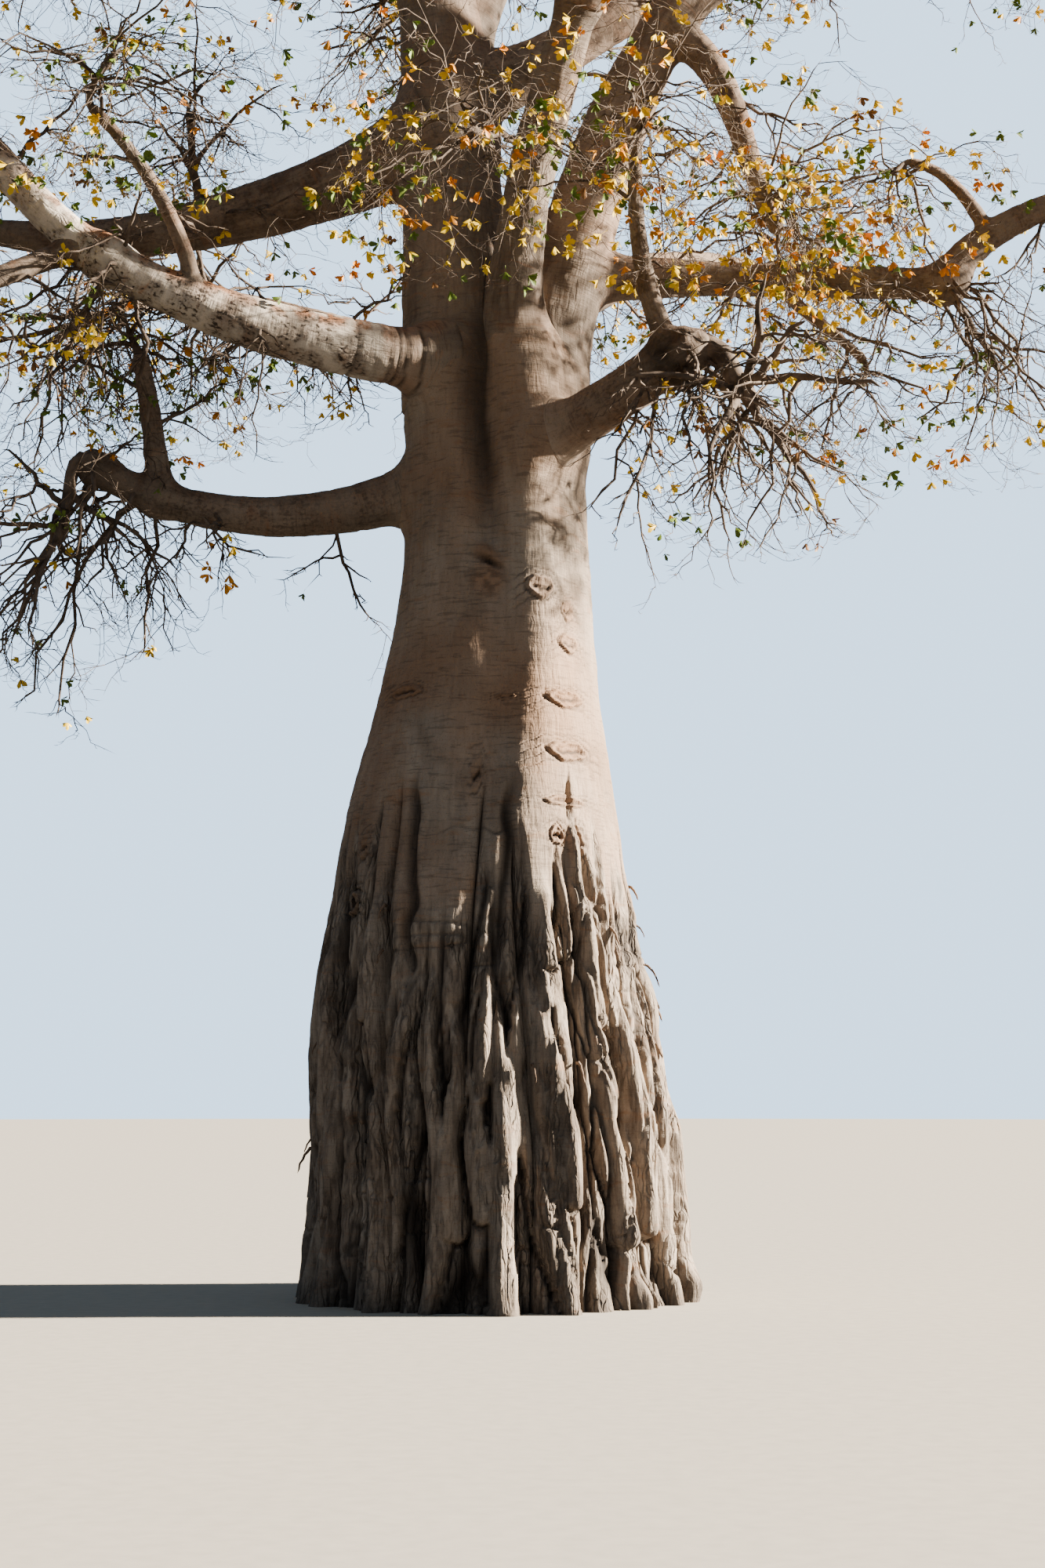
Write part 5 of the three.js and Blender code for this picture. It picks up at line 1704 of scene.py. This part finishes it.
def tubes(shoots, sides, taper=1.0):
    """Tubes of so many sides along lines, tapering to a closed point: each ring is a turn about
    the line in a frame that is carried along it. Returns points and triangles."""
    lines, low, high = shoots
    count, rings = lines.shape[0], lines.shape[1]
    along = unit(np.gradient(lines, axis=1))
    side = unit(np.cross(along[:, 0], ANY_WAY))
    net = np.empty((count, rings, sides, 3))
    turn = np.linspace(0.0, 2 * np.pi, sides, endpoint=False)
    cosine, sine = np.cos(turn)[None, :, None], np.sin(turn)[None, :, None]
    radius = mix(low[:, None], high[:, None], np.linspace(0.0, 1.0, rings)[None, :] ** taper)
    for i in range(rings):
        side = unit(side - along[:, i] * (side * along[:, i]).sum(-1, keepdims=True))
        other = np.cross(along[:, i], side)
        ring = side[:, None, :] * cosine + other[:, None, :] * sine
        net[:, i] = lines[:, i, None, :] + ring * radius[:, i, None, None]
    body = net[:, :-1].reshape(count, -1, 3)
    tips = lines[:, -1:, :]
    points = np.concatenate([body, tips], axis=1)
    size = points.shape[1]
    row = (np.arange(rings - 2)[:, None] * sides + np.arange(sides)[None, :]).ravel()
    onward = (np.arange(rings - 2)[:, None] * sides + (np.arange(sides)[None, :] + 1) % sides).ravel()
    walls = np.concatenate(
        [np.stack([row, onward, onward + sides], 1), np.stack([row, onward + sides, row + sides], 1)]
    )
    last = (rings - 2) * sides + np.arange(sides)
    after = (rings - 2) * sides + (np.arange(sides) + 1) % sides
    point = np.stack([last, after, np.full(sides, size - 1)], 1)
    base = np.stack([np.zeros(sides - 2, int), np.arange(2, sides), np.arange(1, sides - 1)], 1)
    pattern = np.concatenate([walls, point, base])
    triangles = (pattern[None, :, :] + (np.arange(count) * size)[:, None, None]).reshape(-1, 3)
    return points.reshape(-1, 3), triangles


def stacked(parts):
    """Several meshes' points and triangles as one."""
    points = []
    triangles = []
    total = 0
    for part_points, part_triangles in parts:
        points.append(part_points)
        triangles.append(part_triangles + total)
        total += len(part_points)
    return np.concatenate(points), np.concatenate(triangles)


def as_shoots(curves, steps, crook, salt):
    """Curves with their two radii as crooked lines and arrays of radii."""
    lines, low, high = zip(*curves)
    return crooked(np.array(lines), steps, crook, salt), np.array(low), np.array(high)


# The bark of twigs, dark and pale
TWIG_DARK = (0.052, 0.036, 0.026)
TWIG_PALE = (0.170, 0.125, 0.092)


def twig_material():
    """Thin grey-brown bark: pale and dark patches and small bumps."""
    looks = {"Roughness": 0.85, "Specular IOR Level": BARK_SHINE}
    material, tree, shader = new_material("twig_bark", looks)
    place = add_node(tree, "TexCoord").outputs["Object"]
    patches = remap(tree, stretched_noise(tree, place, (1, 1, 1), 6.0, 4.0), 0.35, 0.65)
    tree.links.new(blend_colour(tree, patches, TWIG_DARK, TWIG_PALE), shader.inputs["Base Color"])
    bump = add_node(tree, "Bump", {"Strength": 1.0, "Distance": 0.004})
    tree.links.new(stretched_noise(tree, place, (1, 1, 1), 90.0, 3.0), bump.inputs["Height"])
    tree.links.new(bump.outputs["Normal"], shader.inputs["Normal"])
    return material


twig_bark = twig_material()
twig_parts = {}
leaf_spots = []


def note_leaves(shoots, spray, leafy, green, salt):
    """Keeps the tips that hold leaves, in sprays: a spray holds them or is bare, and most of its
    tips go with it. Notes the place, the way the tip points and the spray's tint as a share, with
    GREEN added for a green one."""
    lines = shoots[0]
    chosen = chance(spray, salt=salt) < LEAFINESS * leafy
    chosen &= chance(np.arange(len(lines)), salt=salt + 1) < 0.8
    tint = chance(spray, salt=salt + 2) + GREEN * (chance(spray, salt=salt + 3) < green + MORE_GREEN)
    way = unit(lines[chosen, -1] - lines[chosen, -2])
    leaf_spots.append((lines[chosen, -1], way, tint[chosen]))


def dress(arcs, counts, scale, salt, space, leafy, green):
    """The fine twigs and spurs on hanging arcs, as mesh parts; the leaves' places are noted."""
    lengths = (FINE_TWIG_LENGTHS[0] * scale, FINE_TWIG_LENGTHS[1] * scale)
    twigs, _ = sprout(arcs, "twig", counts[0], lengths, salt, space=space)
    spurs, owner = sprout(twigs, "spur", counts[1], SPUR_LENGTHS, salt + 20, space=space)
    more, _ = sprout(arcs, "side spur", counts[2], SIDE_SPUR_LENGTHS, salt + 40, space=space)
    note_leaves(spurs, owner, leafy, green, salt + 60)
    note_leaves(twigs, np.arange(len(twigs[0])), leafy, green, salt + 60)
    return [tubes(arcs, 4), tubes(twigs, 3), tubes(spurs, 3), tubes(more, 3)]


for mass_index, mass_name in enumerate(MASSES):
    _, _, mass_reach, _, mass_leafy, mass_green, mass_piece = MASSES[mass_name]
    stems, branches, twigs = grow_mass(mass_name, mass_index)
    salt = 100 * (mass_index + 1)
    stems = as_shoots(stems, 8, 0.25, salt)
    branches = as_shoots(branches + twigs, 8, 0.40, salt + 7)
    parents = joined([stems, branches])
    lengths = (ARC_LENGTHS[0] * mass_reach, ARC_LENGTHS[1] * mass_reach)
    arc_count = LOOSE_ARCS.get(mass_name, ARCS)
    arcs, _ = sprout(parents, "arc", arc_count, lengths, salt + 10, space=mass_name)
    parts = [tubes(stems, 9, 0.6), tubes(branches, 6, 0.8)]
    parts += dress(arcs, ARC_COUNTS, mass_reach, salt + 30, mass_name, mass_leafy, mass_green)
    twig_parts.setdefault(mass_piece, []).extend(parts)


# Thin shoots that stand straight on the limbs themselves, before the masses begin: fewer on the
# bare limbs, one for every so many metres
BARE_LIMBS = ("leader_left", "leader_right", "leader_centre", "bough_lower_right")
BARE_SHARE = 0.35
SHOOT_EVERY = 0.62
SHOOT_LENGTHS = (0.7, 1.8)
limb_shoots = []
for limb_index, (limb_name, limb) in enumerate(limbs.items()):
    count = int(limb["length"] * (BARE_SHARE if limb_name in BARE_LIMBS else 1.0) / SHOOT_EVERY)
    wood = (clear_lines[limb_name][None], np.array([0.05]), np.array([0.04]))
    made, _ = sprout(wood, "straight shoot", count, SHOOT_LENGTHS, 7000 + 50 * limb_index)
    limb_shoots.append(made)
# Long strands that hang from the knotted ends: limb, where they start, how many, their lengths
WEEPING = (
    ("bough_lower_right", 0.86, 11, (1.0, 2.2)),
    ("bough_lowest_left", 0.78, 9, (1.1, 2.3)),
    ("bough_right", 0.90, 6, (1.0, 2.0)),
    ("bough_lower_left", 0.90, 6, (1.0, 1.8)),
)
for row, (limb_name, first, count, lengths) in enumerate(WEEPING):
    wood = (clear_lines[limb_name][None], np.array([0.06]), np.array([0.05]))
    made, _ = sprout(wood, "hanging shoot", count, lengths, 8000 + 50 * row, first)
    limb_shoots.append(made)
limb_shoots = joined(limb_shoots)
shoot_arcs, _ = sprout(limb_shoots, "shoot's arc", 2, (0.5, 1.2), 8700)
shoot_parts = [tubes(limb_shoots, 5)]
shoot_parts += dress(limb_shoots, (5, 2, 3), 1.3, 8800, None, 0.10, 0.3)[1:]
shoot_parts += dress(shoot_arcs, (3, 3, 3), 1.2, 8900, None, 0.12, 0.3)
twig_parts["limb_shoots"] = shoot_parts

for piece_name, parts in twig_parts.items():
    twig_points, twig_triangles = stacked(parts)
    twig_piece = piece_of(piece_name, twig_points, twig_triangles, twig_bark)
    stands_for = [name for name in MASSES if MASSES[name][6] == piece_name] or ["foliage_front"]
    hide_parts(*stands_for)


# Shreds: strips of torn old bark, a finger wide and up to two hands long. They stand off the
# folds and hang, still held at one end.
SHREDS = 26
SHRED_LENGTHS = (0.14, 0.42)
SHRED_WIDTHS = (0.012, 0.030)
SHRED_STEPS = 8
# Those at the folds' right edge: bearings and heights; the others are dealt out all round
RIGHT_SHREDS = (
    (352.0, 3.75), (356.0, 3.35), (349.0, 2.95), (358.0, 3.05), (354.0, 4.15), (345.0, 2.55),
)
SHRED_HEIGHTS = (1.4, 4.1)
shred_number = np.arange(SHREDS)
dealt = shred_number[len(RIGHT_SHREDS):]
right_bearings, right_heights = np.array(RIGHT_SHREDS).T
shred_bearings = np.concatenate([right_bearings, 360.0 * chance(dealt, salt=91)])
shred_heights = np.concatenate([right_heights, mix(*SHRED_HEIGHTS, chance(dealt, salt=92))])
shred_out = direction(shred_bearings, 0.0 * shred_bearings)
shred_foot = shred_out * (bottle_radius(shred_heights) - 0.01)[:, None]
shred_foot[:, 0] += trunk_centre(shred_heights)
shred_foot[:, 2] = shred_heights
shred_length = mix(*SHRED_LENGTHS, chance(shred_number, salt=93))[:, None]
shred_aside = np.stack([-shred_out[:, 1], shred_out[:, 0], 0.0 * shred_heights], axis=1)
shred_swing = mix(-0.5, 0.5, chance(shred_number, salt=94))[:, None]
shred_leave = unit(0.6 * shred_out + shred_swing * shred_aside + [0, 0, 0.4])
shred_tip = shred_foot + shred_length * (0.30 * shred_out + 0.25 * shred_leave + [0, 0, -0.75])
shred_curves = bezier(shred_foot, shred_leave, shred_tip, unit(0.2 * shred_out + [0, 0, -1.0]))
shred_width = mix(*SHRED_WIDTHS, chance(shred_number, salt=95))
shred_lines = crooked(shred_curves, SHRED_STEPS, 0.30, 96)
shred_points, shred_triangles = tubes((shred_lines, shred_width, 0.35 * shred_width), 4)
shred_looks = {}
for key, value in {"painted_shade_and_marks": 0.35, "age": 0.9, "stain": 0.45}.items():
    shred_looks[key] = np.full(len(shred_points), value)
shreds = piece_of("bark_shreds", shred_points, shred_triangles, trunk_material, shred_looks)
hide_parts("trunk")


# Leaves: three to five blunt leaflets hang round the end of a short stalk, thin and a little
# folded, in the last yellow of the season with some gold, brown and green, each tint in its own
# sprays.
LEAF_TINTS = {
    # name: (share of the sprays that aren't green, colour)
    "yellow": (0.70, (0.76, 0.51, 0.006)),
    "gold": (0.92, (0.60, 0.23, 0.006)),
    "brown": (1.00, (0.24, 0.11, 0.03)),
    "green": (None, (0.11, 0.165, 0.014)),
}
LEAF_SIZE = (0.080, 0.130)
# The stalk's length and half width as shares of a leaf's size; how far a leaf swings and droops from
# the way of its twig
STALK = (0.60, 0.025)
LEAF_SWING = 1.3
LEAF_DROOP = 0.9
# Each leaflet's turn about the stalk's line, how far it stands away from that line, its length
LEAFLETS = ((0, 26, 1.0), (80, 52, 0.9), (165, 38, 0.95), (235, 58, 0.8), (300, 44, 0.85))
# A leaflet's half outline from its foot: share of its length, half width as a share of it
LEAFLET_OUTLINE = ((0.36, 0.17), (0.74, 0.24))
# How far its sides stand up from its middle line, and where that line's middle point lies
LEAFLET_FOLD = 0.09
LEAFLET_MIDDLE = 0.56


def leaf_pattern(leaflets):
    """One leaf of unit size along its first axis: a slim stalk, and leaflets round its end that
    have a foot, a rounded outline whose sides stand up from its middle line, and a tip."""
    stalk, slim = STALK
    points = [[-stalk, -slim, 0.0], [-stalk, slim, 0.0], [0.0, 0.0, 0.0]]
    triangles = [[0, 2, 1]]
    for turn, away, length in LEAFLETS[:leaflets]:
        t = math.radians(turn)
        a = math.radians(away)
        outward = np.array([0.0, math.cos(t), math.sin(t)])
        along = np.array([math.cos(a), 0.0, 0.0]) + math.sin(a) * outward
        across = np.array([0.0, -math.sin(t), math.cos(t)])
        upward = np.cross(along, across)
        first = len(points)
        for share, half_width in LEAFLET_OUTLINE:
            for way in (1.0, -1.0):
                sideways = way * half_width * across + LEAFLET_FOLD * upward
                points.append(length * (share * along + sideways))
        points.append(length * along)
        points.append(length * LEAFLET_MIDDLE * along)
        left_low, right_low, left_high, right_high, tip, middle = range(first, first + 6)
        triangles += [[2, left_high, left_low], [2, middle, left_high], [middle, tip, left_high]]
        triangles += [[2, right_low, right_high], [2, right_high, middle], [middle, right_high, tip]]
    return np.array([list(point) for point in points]), np.array(triangles)


def leaf_mesh(places, ways, salt):
    """Leaves at places: a pattern times each leaf's size, in a frame whose first way is the spur's
    with a droop, turned about it by chance. Each leaf has three to five leaflets, by turns."""
    parts = []
    number = np.arange(len(places))
    draws = np.stack([chance(number, salt=salt + i) - 0.5 for i in range(6)], axis=-1)
    way = unit(ways + LEAF_SWING * draws[:, :3] + [0.0, 0.0, -LEAF_DROOP])
    side = unit(np.cross(draws[:, 3:] + [0.0, 0.0, 0.05], way))
    normal = np.cross(way, side)
    size = mix(*LEAF_SIZE, chance(number, salt=salt + 9))[:, None, None]
    stalk = places + way * 0.5 * size[:, 0]
    for kind in range(3):
        mine = np.flatnonzero(number % 3 == kind)
        pattern, faces = leaf_pattern(3 + kind)
        spread = (
            pattern[None, :, 0:1] * way[mine, None, :]
            + pattern[None, :, 1:2] * side[mine, None, :]
            + pattern[None, :, 2:3] * normal[mine, None, :]
        )
        points = stalk[mine, None, :] + spread * size[mine]
        triangles = faces[None, :, :] + (np.arange(len(mine)) * len(pattern))[:, None, None]
        parts.append((points.reshape(-1, 3), triangles.reshape(-1, 3)))
    return stacked(parts)


def leaf_material(name, colour):
    """A leaf's one base colour with a slightly waxy finish and fine veins in its bump."""
    looks = {"Base Color": (*colour, 1.0), "Specular IOR Level": 0.35}
    material, tree, shader = new_material(name + "_leaf", looks)
    place = add_node(tree, "TexCoord")
    veins = stretched_noise(tree, place.outputs["Object"], (1, 1, 1), 60.0, 3.0)
    tree.links.new(remap(tree, veins, 0.3, 0.7, 0.42, 0.62), shader.inputs["Roughness"])
    bump = add_node(tree, "Bump", {"Strength": 0.6, "Distance": 0.004})
    tree.links.new(veins, bump.inputs["Height"])
    tree.links.new(bump.outputs["Normal"], shader.inputs["Normal"])
    return material


spot_places, spot_ways, spot_tints = joined(leaf_spots)
lower_share = 0.0
for tint_name, (upper_share, tint_colour) in LEAF_TINTS.items():
    if upper_share is None:
        mine = spot_tints >= GREEN
    else:
        mine = (spot_tints >= lower_share) & (spot_tints < upper_share)
        lower_share = upper_share
    leaf_points, leaf_triangles = leaf_mesh(spot_places[mine], spot_ways[mine], 600)
    leaves = piece_of(
        tint_name + "_leaves", leaf_points, leaf_triangles, leaf_material(tint_name, tint_colour)
    )
    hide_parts(*MASSES)
